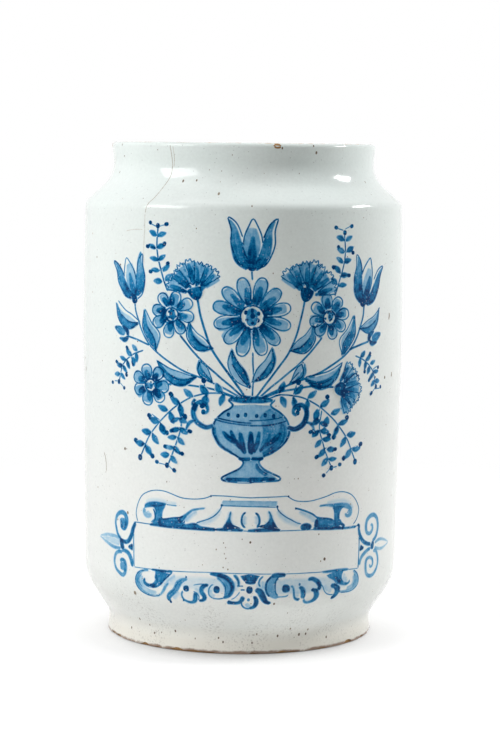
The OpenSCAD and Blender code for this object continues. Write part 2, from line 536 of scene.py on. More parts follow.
CREST = (
    tint(0.1, (-55, 83.4, 1.2), (-51, 85, 2), (-45, 85.4, 2), (-40, 84.6, 1.4), (-35, 84.2, 1)),
    tint(0.12, (-10, 83, 2), (-12.6, 79.4, 3), (-17, 76, 3), (-23, 74.2, 2)),
    tint(0.14, (-23, 81.4, 1.6), (-28, 78, 2.8), (-30.4, 75.4, 2.6)),
    tint(0.14, (-4.6, 82, 1.4), (-5.3, 79, 2.2), (-5.6, 76, 3.4), (-5.4, 74, 6), (-5.2, 73, 9)),
    tint(0.14, (15.6, 82, 1.4), (16.7, 79, 2.2), (17, 76, 3.4), (16.6, 74.2, 6), (15.4, 73, 10)),
    tint(0.12, (20.6, 82.6, 2), (23.1, 79, 3), (27.7, 76, 3), (33.6, 74, 2)),
    tint(0.14, (32.6, 81.4, 1.6), (37.1, 79.4, 2.6), (40.9, 77, 2.8), (41.9, 74.4, 2)),
    tint(0.1, (49.4, 84.6, 1.2), (55.3, 85.4, 2), (61.3, 85.2, 2), (66.2, 83, 1.6), (68.2, 80, 1)),
    wash(0.26, 0.24, (-10, 86.2, 2.6), (0, 86.1, 2.6), (9.9, 86, 2.6), (20.7, 85.7, 2.4)),
    wash(0.14, 0.12, (-54.5, 79, 2.4), (-53.4, 78, 3), (-51.6, 77.6, 2.2)),
    wash(0.4, 0.2, (-55.6, 81, 1.4), (-56, 79, 1.8), (-55.4, 77.4, 2.4), (-53.8, 76.6, 2.6),
         (-52, 76.8, 2.2), (-50.8, 78, 1.4)),
    tint(0.14, (3.4, 80, 1.4), (2.4, 77.3, 2), (3, 74.4, 1.6)),
    tint(0.14, (8.7, 80, 1.4), (9.7, 77.3, 2), (8.9, 74.4, 1.6)),
    wash(0.66, 0.7, (-46, 84, 8.4), (-46.1, 82.5, 7.6), (-46.1, 80.8, 5.4), (-46.2, 78.6, 4.4),
         (-46.3, 76.2, 4.6), (-46.6, 74.2, 6.2), (-47, 72.8, 8.4), (-47, 71.8, 9.4)),
    wash(0.74, 0.78, (-55.8, 80.9, 1), (-53.6, 82.3, 2.4), (-50, 83.2, 3), (-46, 83.4, 2.8),
         (-42.6, 83.7, 1.6), (-41, 83.9, 0.8)),
    wash(0.72, 0.78, (-47, 73.6, 4.4), (-43, 73.6, 4.4), (-39, 73.9, 5.2), (-35, 74.1, 5.6), (-32, 74.2, 5),
         (-30.5, 73.2, 3.4)),
    wash(0.82, 0.55, (-34.4, 74.6, 3.6), (-32, 76.3, 3), (-30, 78.2, 1.8), (-28, 80, 1.2),
         (-25.6, 81.7, 0.9), (-22, 82.5, 0.8), (-18.3, 83.1, 0.8)),
    wash(0.74, 0.9, (-32, 72.2, 2), (-28, 72.7, 2.8), (-25.5, 73, 3.4), (-23.6, 73, 3), (-21.5, 72.4, 1.8),
         (-17, 72, 1.5), (-12.5, 71.8, 1.3)),
    wash(0.85, 0.9, (-52.5, 71.7, 0.8), (-48, 71.8, 1.2), (-40, 71.6, 1.2), (-26, 71.5, 1.2),
         (-13, 71.4, 1.2)),
    wash(0.95, 1, (-12.8, 71.7, 1), (-9, 71.8, 1.5), (-5, 71.9, 1.8), (-1, 71.7, 1.5), (2.5, 71.5, 1)),
    wash(0.75, 1, (-4.6, 82.2, 0.7), (-5.2, 80, 0.8), (-5.5, 78, 1.2), (-5.7, 76.2, 2.6), (-5.8, 74.7, 4.6),
         (-5.6, 73.4, 7.6), (-5.4, 72.3, 12), (-5.3, 71.2, 14)),
    wash(0.8, 1, (4.3, 71.4, 1), (8.9, 71.6, 1.7), (13.8, 71.8, 2), (18.8, 71.8, 1.8), (22.9, 71.4, 1)),
    wash(0.75, 1, (15.7, 82.2, 0.8), (16.7, 80, 0.9), (17.1, 78, 1.6), (17.2, 76.4, 3), (17.1, 74.9, 5),
         (16.9, 73.5, 8), (16.5, 72.3, 12.4), (16.3, 71.1, 14)),
    wash(0.7, 0.72, (56.9, 83.8, 9.4), (56.9, 82.4, 7.8), (56.7, 80.6, 5), (56.5, 78.4, 3.8),
         (56.5, 76, 3.8), (56.8, 74, 4.4), (57.3, 72.3, 5.8), (57.7, 71.2, 7)),
    wash(0.66, 0.4, (44.5, 83.7, 0.7), (48.4, 83.9, 0.9), (52.4, 83.6, 1.6), (56.3, 83.3, 2.4),
         (60.3, 83.1, 2.6), (63.6, 82.4, 2.8), (65.8, 80.9, 2.4), (66.6, 79, 2.2), (66, 77.4, 2.2),
         (64.4, 76.8, 2), (63, 77.4, 1.6), (62.8, 78.8, 1.2)),
    wash(0.3, 0.24, (63.8, 79.2, 1.4), (64.6, 78.6, 1.8), (65, 77.9, 1.4)),
    wash(0.7, 0.68, (42.8, 74.3, 5.8), (45.9, 74.2, 5.6), (49.4, 73.8, 5.2), (52.4, 73.4, 4.8),
         (55.9, 72.8, 4)),
    wash(0.85, 1, (43.4, 77, 1), (43.7, 75, 2.6), (43.9, 73, 3.8), (43.9, 71.8, 4)),
    wash(0.95, 1, (33.2, 72.5, 1.4), (35.6, 72.8, 3.2), (38.1, 72.8, 3.2), (40.4, 72, 1.6)),
    wash(0.7, 0.8, (40.9, 71.4, 1.2), (49.4, 71.1, 1.6), (56.3, 70.7, 1.6), (62.2, 70.2, 1.2),
         (71.1, 69.9, 0.9)),
    wash(0.7, 0.9, (58.5, 75.4, 0.8), (59.3, 73.2, 1.2), (60.9, 71.6, 1.6), (62.6, 70.8, 1)),
    line(0.8, 0.85, (-49.8, 81), (-48.9, 79.5), (-48.4, 77.5), (-48.4, 75.4), (-49.2, 73.8)),
    line(0.8, 0.85, (-44.8, 77), (-43.8, 75.6), (-42, 75.5), (-40, 76.1), (-36, 76.8), (-33.4, 77),
         (-31, 78)),
    line(0.42, 0.76, (-60.3, 72.3), (-61.4, 76), (-61.3, 79), (-60.2, 82.5), (-58, 86.3), (-55.5, 88.5),
         (-51, 90.4), (-46, 91.1), (-41.5, 90.7), (-37, 89.4), (-33, 88.2), (-29, 87.7), (-24, 87.8),
         (-19.5, 88.4), (-17, 89.2), (-15.3, 90), (-12, 90.1), (-6, 90), (0, 89.6), (5.4, 89.3),
         (9.9, 89.4), (19.8, 89.6), (26, 89.8), (27.2, 89), (29.1, 87.8), (31.6, 87), (35.6, 86.6),
         (39.5, 86.7), (44.5, 87.5), (49.4, 88.6), (54.3, 90), (58.3, 90.4), (62.2, 89.9), (66.2, 88.4),
         (69.2, 86), (71.4, 83), (72.9, 79.5), (72.3, 76), (70.7, 73.4), (68.4, 71.2)),
    line(0.5, 0.72, (-10, 85), (0, 84.9), (9.9, 84.7), (20.3, 84.3)),
    line(0.5, 0.3, (-9, 87.4), (0, 87.5), (9.9, 87.4), (20.7, 87)),
    line(0.6, 0.76, (-9.5, 85.4), (-10.2, 83.5), (-11.6, 81.3), (-14, 78.9), (-17, 77.2), (-21, 75.7),
         (-24, 74.6)),
    line(0.55, 0.8, (20.2, 84.6), (21.2, 82.6), (22.7, 80.8), (25.7, 78.6), (28.7, 77), (31.6, 75.4),
         (34.6, 74.4)),
    line(1.0, 0.74, (3.5, 81.6), (1.7, 80), (1, 77.5), (1.2, 75), (2.3, 73.4), (3.4, 72.7)),
    line(1.1, 0.72, (8.3, 81.6), (10.1, 80), (10.9, 77.5), (10.6, 75), (9.3, 73)),
    line(0.6, 0.42, (-41, 83.9), (-38, 83.7), (-34.6, 83.6)),
    line(0.9, 0.74, (30.6, 83.2), (34.6, 82), (38.5, 80.5), (41.5, 79), (43, 77.8), (45.4, 77),
         (49.4, 76.4), (52.4, 75.8), (54.3, 75)),
    dot(-15.6, 89.9, 0.5, 0.8), dot(26.7, 89.6, 0.5, 0.8), dot(-9.6, 85.2, 0.7, 0.85),
    dot(20.4, 84.4, 0.7, 0.85),
    dot(30.9, 83.1, 0.6, 0.95), dot(60.7, 70.4, 0.8, 0.9),
)

VOLUTES = (
    wash(0.15, 0.1, (-75, 59, 4), (-84, 59.5, 3.2), (-92, 60, 1)),
    wash(0.4, 0.2, (-73.5, 61.5, 1.4), (-80, 62.3, 1.8), (-88, 62, 1.5), (-95.5, 60, 0.6)),
    wash(0.45, 0.2, (-73.5, 56, 1.4), (-80, 56, 1.9), (-88, 57.8, 1.5), (-95.5, 60, 0.6)),
    wash(0.5, 0.6, (-72.6, 73.5, 4), (-72, 70, 5), (-72.3, 67.6, 3)),
    wash(0.5, 0.55, (-72.4, 49, 3.4), (-72.3, 46.5, 4.8), (-72.3, 43.5, 3.6)),
    wash(0.6, 0.75, (-73.5, 61, 1.6), (-76, 63, 1.7), (-77.5, 66, 1.5), (-78.5, 70, 1.5), (-77, 74, 1.9),
         (-74, 76, 2.3), (-71, 76, 2.6), (-69, 73.5, 2.6), (-69, 70.5, 2.2), (-70.5, 67.5, 2),
         (-72.5, 67.5, 1.8), (-73.5, 70, 1.6), (-72.5, 72, 1.4)),
    wash(0.55, 0.6, (-72, 54, 1.8), (-76, 53.5, 1.9), (-78.5, 51.5, 1.8), (-79.5, 47.5, 1.6),
         (-78, 44, 1.6), (-75, 42, 1.8), (-72, 41, 2.2), (-70, 43, 2.1), (-69.5, 46, 2), (-70.5, 49, 2),
         (-73, 49.5, 1.9), (-74.5, 48, 1.6)),
    wash(0.85, 0.8, (-62, 71.8, 1.6), (-64, 68, 2.3), (-65, 64.5, 2.5), (-67.5, 61, 2.4), (-70, 60, 2.2),
         (-73, 60.5, 1.8)),
    wash(0.6, 0.7, (-73, 55.5, 1.6), (-68, 54.5, 2.4), (-65.5, 52, 2.6), (-64.5, 49, 2.2),
         (-64, 46.5, 1.2)),
    wash(0.85, 0.9, (-74, 62, 2.4), (-73.3, 58.8, 3.2), (-72, 55.5, 2.6)),
    wash(0.95, 0.85, (-63.8, 58, 4.2), (-66, 57.9, 2.4), (-68, 57.8, 0.8)),
    wash(0.4, 0.2, (88.9, 58.5, 1.4), (93.9, 59.8, 1.7), (99.8, 59, 1.5), (107.7, 56.3, 0.6)),
    wash(0.4, 0.2, (88.9, 56, 1.4), (93.9, 54.5, 1.7), (99.8, 54.3, 1.5), (107.7, 56, 0.6)),
    wash(0.6, 0.5, (86.5, 59.5, 1.8), (90.4, 62, 2), (92.4, 66.5, 2), (91.4, 71.5, 2.1), (88.4, 74.3, 2.2),
         (84.5, 74.5, 2.3), (81, 72.5, 2.2), (80, 69, 2), (81, 65.5, 2), (84, 64.5, 1.9), (86.5, 66.5, 1.8),
         (86, 69, 1.6), (84, 69.5, 1.4)),
    wash(0.55, 0.5, (87.4, 54.5, 1.8), (90.9, 53.5, 1.9), (92.9, 50, 1.9), (92.7, 45.5, 1.9),
         (89.9, 41.8, 2), (85.5, 40.3, 2.1), (81.5, 42, 2.1), (80.3, 46.5, 2), (81, 50, 1.9), (84, 51, 1.8),
         (86.9, 49.5, 1.7), (87.2, 46.5, 1.5), (85, 45.5, 1.4), (84, 47.5, 1.2)),
    wash(0.75, 0.7, (73.1, 70, 1.2), (74.6, 65, 2), (77.1, 61.5, 2.2), (81, 59.3, 2), (85, 58.5, 1.8)),
    wash(0.4, 0.5, (74.6, 47.5, 1.2), (75.6, 51, 1.9), (78.1, 53.5, 2.2), (82, 55.5, 2), (85, 56, 1.6)),
    wash(0.75, 0.8, (87.4, 60, 2), (86.5, 57.5, 3), (86.2, 55, 2.4)),
    wash(0.95, 0.85, (74.6, 57.5, 4.4), (76.6, 57.2, 2.4), (78.5, 57, 0.8)),
)

LOWER_SCROLL = (
    tint(0.09, (-46, 39, 3), (-40, 41.2, 4.4), (-33, 41.8, 5.4), (-24, 41.4, 6.6), (-14, 40.8, 7.6),
         (-5, 40.4, 7.6)),
    tint(0.09, (9, 41.4, 4), (17, 40.2, 8), (27, 40.4, 8.4), (38, 40, 8), (48, 40.2, 7.4), (56, 40, 6.6),
         (65, 40, 5.6)),
    tint(0.12, (-43, 38.6, 1.2), (-40.8, 40.8, 1.8), (-38.4, 43, 1.6), (-35.4, 45, 1)),
    tint(0.14, (-33.4, 36.4, 2), (-36.4, 33.6, 2.4), (-37.6, 31.4, 1.8)),
    tint(0.14, (-23.6, 39.4, 2), (-22.6, 37, 2.4), (-22, 34.4, 2)),
    tint(0.12, (-1.8, 44, 1.6), (-1.6, 41, 2.2), (-2, 38, 2)),
    tint(0.12, (13.4, 44, 1.6), (13.2, 41.4, 2.2), (13.8, 39, 1.6)),
    tint(0.1, (22.7, 41.2, 1.4), (23.7, 43, 1.8), (26.7, 43.8, 1.6), (29.6, 42.6, 1)),
    tint(0.14, (32.6, 37.6, 1.8), (33, 35, 2.2), (33.6, 33.6, 1.6)),
    tint(0.12, (48.8, 39.6, 1), (50, 37.6, 1.6), (52, 36, 1.8), (54.7, 35.4, 1.4)),
    tint(0.12, (63.2, 45, 1), (62.4, 42.6, 1.6), (63.6, 41, 1.6), (65.6, 40.4, 1)),
    wash(0.24, 0.18, (-57.5, 43.5, 2.4), (-58.4, 40, 3), (-57, 36.4, 3.4), (-52.5, 34.3, 2.8),
         (-47.5, 34.2, 1.6)),
    wash(0.16, 0.12, (-15.4, 39, 1.6), (-15, 36, 2.2), (-12.5, 34.8, 2)),
    wash(0.14, 0.12, (3.6, 31.5, 2), (5.1, 29.8, 2.6), (6.9, 29.6, 1.6)),
    wash(0.2, 0.16, (70.1, 43.5, 2.4), (70.9, 40.3, 3), (69.2, 37.2, 2.8), (64.7, 36, 1.8)),
    wash(0.4, 0.46, (-52.5, 46.3, 0.8), (-57, 45.6, 1.2), (-60, 43.5, 2.2), (-61, 40.5, 2.6),
         (-60.6, 37.5, 2.4), (-58.3, 34.8, 2), (-55, 33, 1.3), (-51, 32.2, 1), (-47.5, 32.5, 1),
         (-45, 34, 1), (-43, 36.5, 1.4), (-41.5, 38.8, 1.3), (-39.5, 40.6, 0.8)),
    line(0.5, 0.7, (-55, 46), (-58.5, 45.3), (-61, 43.2), (-62.2, 40.4), (-61.8, 37.2), (-59.4, 34.2),
         (-56, 32.6), (-51.5, 31.8), (-47.6, 32.4), (-45.4, 33.8)),
    line(0.4, 0.52, (-57.4, 44), (-59.4, 41.4), (-59.4, 38.6), (-57.4, 36)),
    wash(0.66, 0.8, (-44, 46.9, 12.6), (-44.1, 45.6, 10), (-45, 43.4, 7), (-46.2, 41, 4.8), (-48, 38.9, 3),
         (-51, 37.6, 2), (-54.3, 38, 2), (-55.9, 39.8, 1.7), (-55, 41.6, 0.9)),
    line(0.7, 0.72, (-37.4, 46.5), (-41.4, 43.2), (-44.5, 39.6), (-47.5, 37.6), (-51, 36.8)),
    wash(0.85, 0.8, (-48.4, 45, 0.8), (-47.8, 42.6, 1.6), (-47.4, 40.4, 1.4), (-49.6, 38.6, 1.2),
         (-53, 37.8, 1.4)),
    wash(0.8, 0.85, (-51, 46.9, 0.8), (-44, 46.8, 1.2), (-37.2, 46.8, 1)),
    wash(0.56, 0.6, (-28.3, 43.4, 0.9), (-31, 42.8, 2), (-33.6, 41, 3.2), (-35, 38.2, 3.2),
         (-36.8, 36, 2.9), (-39.2, 34, 3), (-40.6, 31.8, 2.5), (-39.6, 29.9, 1.4)),
    line(0.45, 0.66, (-32, 43), (-35, 40.6), (-36.4, 37.6), (-38.4, 35.6), (-41, 33.2), (-41.6, 31.4),
         (-40, 29.6)),
    dot(-29.4, 44.6, 0.6, 0.85), dot(-39.5, 29.9, 0.8),
    wash(0.95, 1, (-31.4, 38, 2.2), (-29.4, 38.4, 3.2), (-27.6, 38.8, 2.4)),
    wash(0.55, 0.75, (-31.2, 37, 0.8), (-32.2, 34.6, 0.9), (-31.3, 32, 1), (-28.8, 30.6, 1.2),
         (-26.2, 30.5, 1.6), (-24.6, 31.8, 2.5), (-24.2, 34.2, 2.4), (-24.3, 36.9, 1)),
    dot(-31.4, 31.4, 0.6, 0.9),
    line(0.4, 0.55, (-25.6, 40.3), (-23.4, 40.9), (-21, 41.3), (-18.6, 41.4)),
    wash(0.8, 0.85, (-16.2, 41.2, 1.2), (-18.5, 40.7, 2), (-20.3, 39.2, 2.4), (-20.4, 37, 2.4),
         (-19.2, 35.2, 2.4), (-18.9, 33.4, 2.4), (-20.4, 32.1, 1.5), (-22.6, 32, 1.2)),
    line(0.6, 0.5, (-25.4, 37.4), (-23, 36.2), (-22, 34.2), (-22.6, 32.4)),
    line(0.7, 0.55, (-13.4, 41.6), (-14.8, 41.2), (-16.2, 39), (-16.3, 36), (-14.6, 34.2), (-11.5, 33.6),
         (-9, 34), (-7.8, 34.3)),
    dot(-12, 38.7, 2.0, 1.0),
    wash(0.55, 0.5, (-12, 46.2, 2.6), (-8.8, 44.6, 4), (-6.2, 42, 4.6), (-5.2, 39.2, 4.6),
         (-5.8, 36.4, 3.4), (-8, 34.6, 1.2)),
    wash(0.88, 0.8, (-16.2, 47.3, 0.9), (-12.5, 46.9, 1.9), (-8.8, 46.3, 2.4), (-5.4, 44.4, 2.6),
         (-3.6, 41.8, 2.4), (-3.5, 38.8, 2.2), (-4.7, 36.1, 1.9), (-6.8, 34.6, 1.4), (-8.8, 34.3, 1)),
    line(0.5, 0.62, (-11.6, 45.2), (-8.8, 42.6), (-7.2, 39.4), (-7.6, 36.6)),
    wash(0.7, 0.8, (-3, 47.2, 1.3), (-1.3, 45.5, 1.5), (-0.2, 43.2, 1.2), (-0.3, 41, 1.1), (-0.9, 40.2, 1)),
    line(0.6, 0.5, (0.2, 40.7), (1.4, 40.8), (2.6, 40.7)),
    line(0.7, 0.62, (0.8, 38.8), (2, 38.9), (3.4, 38.8)),
    wash(0.95, 0.75, (-6.8, 31.9, 2.4), (-4, 31.4, 1.7), (-1, 31.3, 1.6), (1, 32.2, 2), (2, 34, 2.3),
         (2.3, 35.6, 1.6)),
    line(0.6, 0.45, (-4.4, 33.2), (-2.5, 34), (-1, 35.4), (0, 36.6), (0.8, 38)),
    wash(0.82, 0.85, (6.1, 47.3, 11.6), (6.1, 45.6, 9.8), (6.2, 44, 7.4), (6.2, 42.7, 6.2)),
    wash(0.95, 0.95, (3.4, 43.4, 1.4), (6.2, 43, 1.8), (9.2, 43.1, 1.5)),
    dot(5.8, 38.9, 2.0, 1.0),
    line(0.9, 0.6, (2.2, 34.6), (1.5, 32), (2.3, 29.3), (4.4, 27.9), (6.9, 27.8)),
    wash(0.78, 0.66, (7.9, 35.6, 1.2), (9.3, 33.2, 2.4), (9.3, 30.8, 2.5), (8.1, 28.9, 2),
         (5.4, 27.9, 1.1)),
    dot(5.7, 33, 0.9, 0.4),
    wash(0.82, 0.9, (8.7, 39.2, 1.8), (11.3, 38.2, 3.4), (12.8, 36, 3.7), (14, 33.6, 3.2),
         (15.6, 31.8, 2.2), (18.2, 31.1, 1.2)),
    line(0.9, 0.62, (13.5, 46.4), (11.5, 44.5), (10.9, 42.2), (11.9, 40.1)),
    wash(0.42, 0.4, (21.7, 46.4, 3), (18.1, 43.8, 4.4), (17.1, 40.5, 5), (17.8, 37.2, 4.4),
         (20.2, 34.8, 2.4), (22.2, 34.2, 1)),
    line(1.1, 0.75, (18.2, 46.7), (15.3, 43.6), (14.5, 40.2), (15.2, 37), (17.1, 34.7)),
    line(0.8, 0.7, (21.7, 46), (20.1, 43.6), (19.7, 40.2), (20.2, 37), (21.7, 35)),
    wash(0.8, 0.78, (17.2, 46.3, 1.6), (19.8, 46.6, 2.4), (22.7, 46.6, 2.4), (26.1, 46.6, 1.8)),
    line(0.8, 0.48, (19.8, 34.3), (23.7, 34.4), (26.7, 34.6), (28.1, 35.6)),
    wash(0.9, 0.84, (23.5, 39.1, 2.8), (25.2, 39, 4.2), (27, 39, 4), (28.6, 39.4, 2.2)),
    wash(0.6, 0.9, (28.5, 40.6, 1.2), (29.9, 39.8, 1.1), (30.6, 37.8, 1), (30.8, 35.8, 1),
         (31.3, 33.8, 1.1), (32.6, 32.6, 1.4), (35, 32.3, 1.4)),
    wash(0.62, 0.62, (33.2, 39.5, 1), (35.1, 38.6, 2.4), (36.1, 36.6, 3), (36.2, 34.4, 2.6),
         (35.4, 32.6, 1.4)),
    line(0.7, 0.78, (36.2, 38.6), (37.3, 36.2), (37.3, 34), (36.6, 32.4)),
    dot(33.8, 41, 0.7, 0.6),
    wash(0.78, 0.9, (38.7, 43.2, 1.3), (41.5, 43.6, 2.1), (44.3, 42.2, 2.5), (46.1, 40.2, 2.7),
         (46.3, 38.4, 2.2), (45.1, 36.9, 1.8)),
    wash(0.9, 0.8, (40.9, 38, 1.4), (42.7, 37.1, 2), (45.1, 36.8, 1.9)),
    wash(0.66, 0.62, (43.1, 37, 2.2), (44.5, 34.6, 3.2), (43.9, 32.4, 2.6), (41.9, 30.9, 1.6),
         (39.1, 30.4, 1.3), (37.3, 31.2, 1.2), (36.8, 32.8, 1)),
    line(0.55, 0.66, (46.8, 40.4), (48.4, 38.6), (49.4, 36.3), (51.4, 34.3), (53.7, 33.5), (56.3, 33.2)),
    wash(0.62, 0.8, (53.4, 38.6, 1.5), (56.1, 38.4, 2.4), (58.1, 36.8, 3.2), (58.4, 34.6, 3.2),
         (57.1, 32.4, 2.2), (54.7, 31.3, 1.4)),
    wash(0.85, 0.8, (53.2, 38.8, 1.2), (56.5, 39, 1.2), (59.3, 37.2, 1.1), (59.9, 35, 0.8)),
    wash(0.6, 0.76, (57.1, 46.8, 17), (57.2, 45.6, 12.6), (58.1, 43.2, 6.8), (59.1, 41.3, 4.6),
         (61.3, 39.5, 2.4), (64.6, 38.6, 1.3), (66.6, 39.3, 1), (67, 40.8, 0.9)),
    wash(0.85, 0.8, (56.7, 43.8, 1.6), (58.1, 41.8, 2), (60.5, 40, 1.5)),
    wash(0.66, 0.66, (47.4, 46.7, 0.8), (53.4, 46.7, 1.5), (61.3, 46.8, 1.5), (66.2, 46.6, 0.8)),
    wash(0.36, 0.34, (69.7, 45.8, 1), (72.1, 43.5, 2.2), (73.3, 40.5, 2.6), (72.6, 37.6, 2.6),
         (70.3, 35.3, 2.2), (67.2, 34.4, 1.5), (61.3, 34.4, 1.1), (59.3, 34.6, 0.8)),
    line(0.45, 0.62, (70.1, 46), (73.3, 43.2), (74.5, 40.2), (73.9, 37), (71.1, 34.6), (67.2, 33.8),
         (61.3, 34)),
    line(0.4, 0.46, (70.5, 43.6), (71.5, 41), (71.1, 38.6), (69.6, 36.6)),
)


# The bouquet: each flower or leaf is drawn upwards from (0, 0), in millimetres


def arch(*right):
    """An outline up one side and down the other, from the points of its right side up to the middle."""
    return [(-x, z) for x, z in right] + list(right[-2::-1])


def sized(broad, tall, *points):
    """Points (x, z) or (x, z, width) of a form that is drawn one unit broad and tall, at its own size."""
    return [(x * broad, z * tall, *[w * broad for w in width]) for x, z, *width in points]


def rosette(size, petals):
    """An open flower seen from the front, about its centre."""
    heart = 0.3 * size
    broad = math.tau * 0.66 * size / petals
    reach = size - heart
    petal = (
        wash(0.4, 0.26, *sized(broad, reach, (0, 0, 0.5), (0, 0.5, 0.84), (0, 0.8, 0.82), (0, 0.95, 0.5))),
        wash(0.9, 0.5, *sized(broad, reach, (0, -0.05, 0.42), (0.05, 0.32, 0.58), (0.1, 0.72, 0.22))),
        line(0.7, 0.72, *sized(broad, reach, *arch(
            (0.16, 0), (0.4, 0.35), (0.47, 0.68), (0.3, 0.93), (0, 1)))))
    for k in range(petals):
        turn = math.tau * (k + 0.5) / petals
        yield from placed(petal, heart * math.sin(turn), heart * math.cos(turn), turn)
    yield wash(0.55, 0.6, *sized(heart, heart, (-0.55, 0, 0.9), (0, 0, 1.5), (0.55, 0, 0.9)))
    turns = [math.tau * k / 10 for k in range(10)]
    yield line(0.9, 0.85, *[(heart * math.sin(turn), heart * math.cos(turn)) for turn in turns], closed=True)
    for k in range(6):
        turn = math.tau * k / 6
        yield dot(0.58 * heart * math.sin(turn), 0.58 * heart * math.cos(turn), 0.16 * heart, 1.0)
    yield dot(0, 0, 0.24 * heart, 1.0)


def carnation(size):
    """A fan of toothed petals on a cup."""
    cup = 0.36 * size
    broad = 0.32 * size
    for k in range(-3, 4):
        reach = size * (0.86 - 0.02 * abs(k))
        yield from placed([
            wash(0.34, 0.28, *sized(broad, reach, (0, 0.15, 0.3), (0, 0.5, 0.76), (0, 0.74, 0.95))),
            wash(0.9, 0.5, *sized(broad, reach, (0, 0, 0.2), (0.05, 0.35, 0.42), (0.1, 0.68, 0.2))),
            line(0.65, 0.74, *sized(broad, reach, *arch(
                (0.1, 0.1), (0.42, 0.55), (0.5, 0.74), (0.3, 0.7), (0.17, 0.83), (0, 0.74)))),
        ], 0.16 * cup * k, 0.9 * cup - 0.1 * cup * abs(k), math.radians(19 * k))
    yield wash(1, 0.85, *sized(cup, cup, (0, 0, 0.3), (0, 0.35, 0.84), (0, 0.75, 1.05), (0, 1, 0.9)))
    yield line(0.7, 0.95, *sized(cup, cup, *arch((0.5, 0.98), (0.25, 1.16), (0, 0.98))))


def tulip(size):
    """A closed cup of three petals."""
    yield wash(0.42, 0.24, *sized(size, size, (0, 0.1, 0.2), (0, 0.5, 0.34), (0, 0.84, 0.16)))
    yield wash(0.85, 0.5, *sized(size, size, (0.01, 0.05, 0.16), (0.03, 0.3, 0.18), (0.04, 0.66, 0.06)))
    yield line(0.75, 0.74, *sized(size, size, *arch(
        (0.06, 0.05), (0.18, 0.35), (0.17, 0.65), (0.07, 0.9), (0, 1))))
    side_petal = (
        wash(0.9, 0.44, *sized(size, size, (0.04, 0, 0.12), (0.22, 0.2, 0.24), (0.31, 0.5, 0.21),
                               (0.36, 0.78, 0.12), (0.46, 0.98, 0.03))),
        line(0.7, 0.82, *sized(size, size, (0.05, 0), (0.26, 0.1), (0.42, 0.45), (0.43, 0.75), (0.49, 1),
                               (0.32, 0.88), (0.2, 0.6))))
    for flip in (-1, 1):
        yield from placed(side_petal, flip=flip)
    yield dot(0, 0, 0.1 * size, 1.0)


def bud(size):
    """A closed bud between two small leaves."""
    yield wash(0.55, 0.8, *sized(size, size, (0, 0.1, 0.24), (0, 0.5, 0.48), (0, 1, 0.1)))
    small_leaf = wash(
        0.95, 0.8, *sized(size, size, (0, -0.05, 0.14), (0.26, 0.12, 0.24), (0.34, 0.55, 0.05)))
    for flip in (-1, 1):
        yield from placed([small_leaf], flip=flip)


def leaf(broad, *path):
    """A pointed leaf along a path: a pale half, a dark half and a rib."""
    knots = [Vector(p) for p in path]
    along = [(b - a).normalized() for a, b in zip([knots[0], *knots], [*knots[1:], knots[-1]])]
    across = [Vector((way.y, -way.x)) for way in along]
    swell = [math.sin(math.pi * (k / (len(knots) - 1)) ** 0.8) for k in range(len(knots))]
    for start, end, offset, width in ((0.3, 0.26, -0.2, 0.5), (0.8, 0.56, 0.22, 0.52)):
        yield wash(start, end, *[(*(p + n * broad * offset * w), max(0.4, broad * width * w))
                                 for p, n, w in zip(knots, across, swell)])
    for tone, offset, points in ((0.72, -0.46, knots), (0.85, 0.48, knots), (0.95, 0, knots[:-1])):
        yield line(0.6, tone, *[tuple(p + n * broad * offset * w) for p, n, w in zip(points, across, swell)])


def sprig(size, *path):
    """A thin stem with small leaves on both sides and berries between them."""
    yield line(0.8, 0.74, *path)
    steps = rows_of(line(1, 1, *path), size)
    for k, ((a, _, _), (b, _, _)) in enumerate(zip(steps[1:], steps[2:])):
        turn = math.atan2((b - a).x, (b - a).y)
        for side in (-1, 1):
            leaflet = wash(0.82, 0.5, (0, 0, 0.4), (0.12 * size * side, 0.38 * size, 0.42 * size),
                           (0.34 * size * side, 0.82 * size, 0.08 * size))
            yield from placed([leaflet], a.x, a.y, turn + side * 0.75)
            if k % 2 == 0:
                stalk = line(0.5, 0.6, (0, 0), (0, 0.4 * size), (0, 0.75 * size))
                berry = dot(0, 0.86 * size, 0.18 * size)
                yield from placed([stalk, berry], b.x, b.y, turn + side * 1.25)
    yield dot(*path[-1], 0.2 * size)


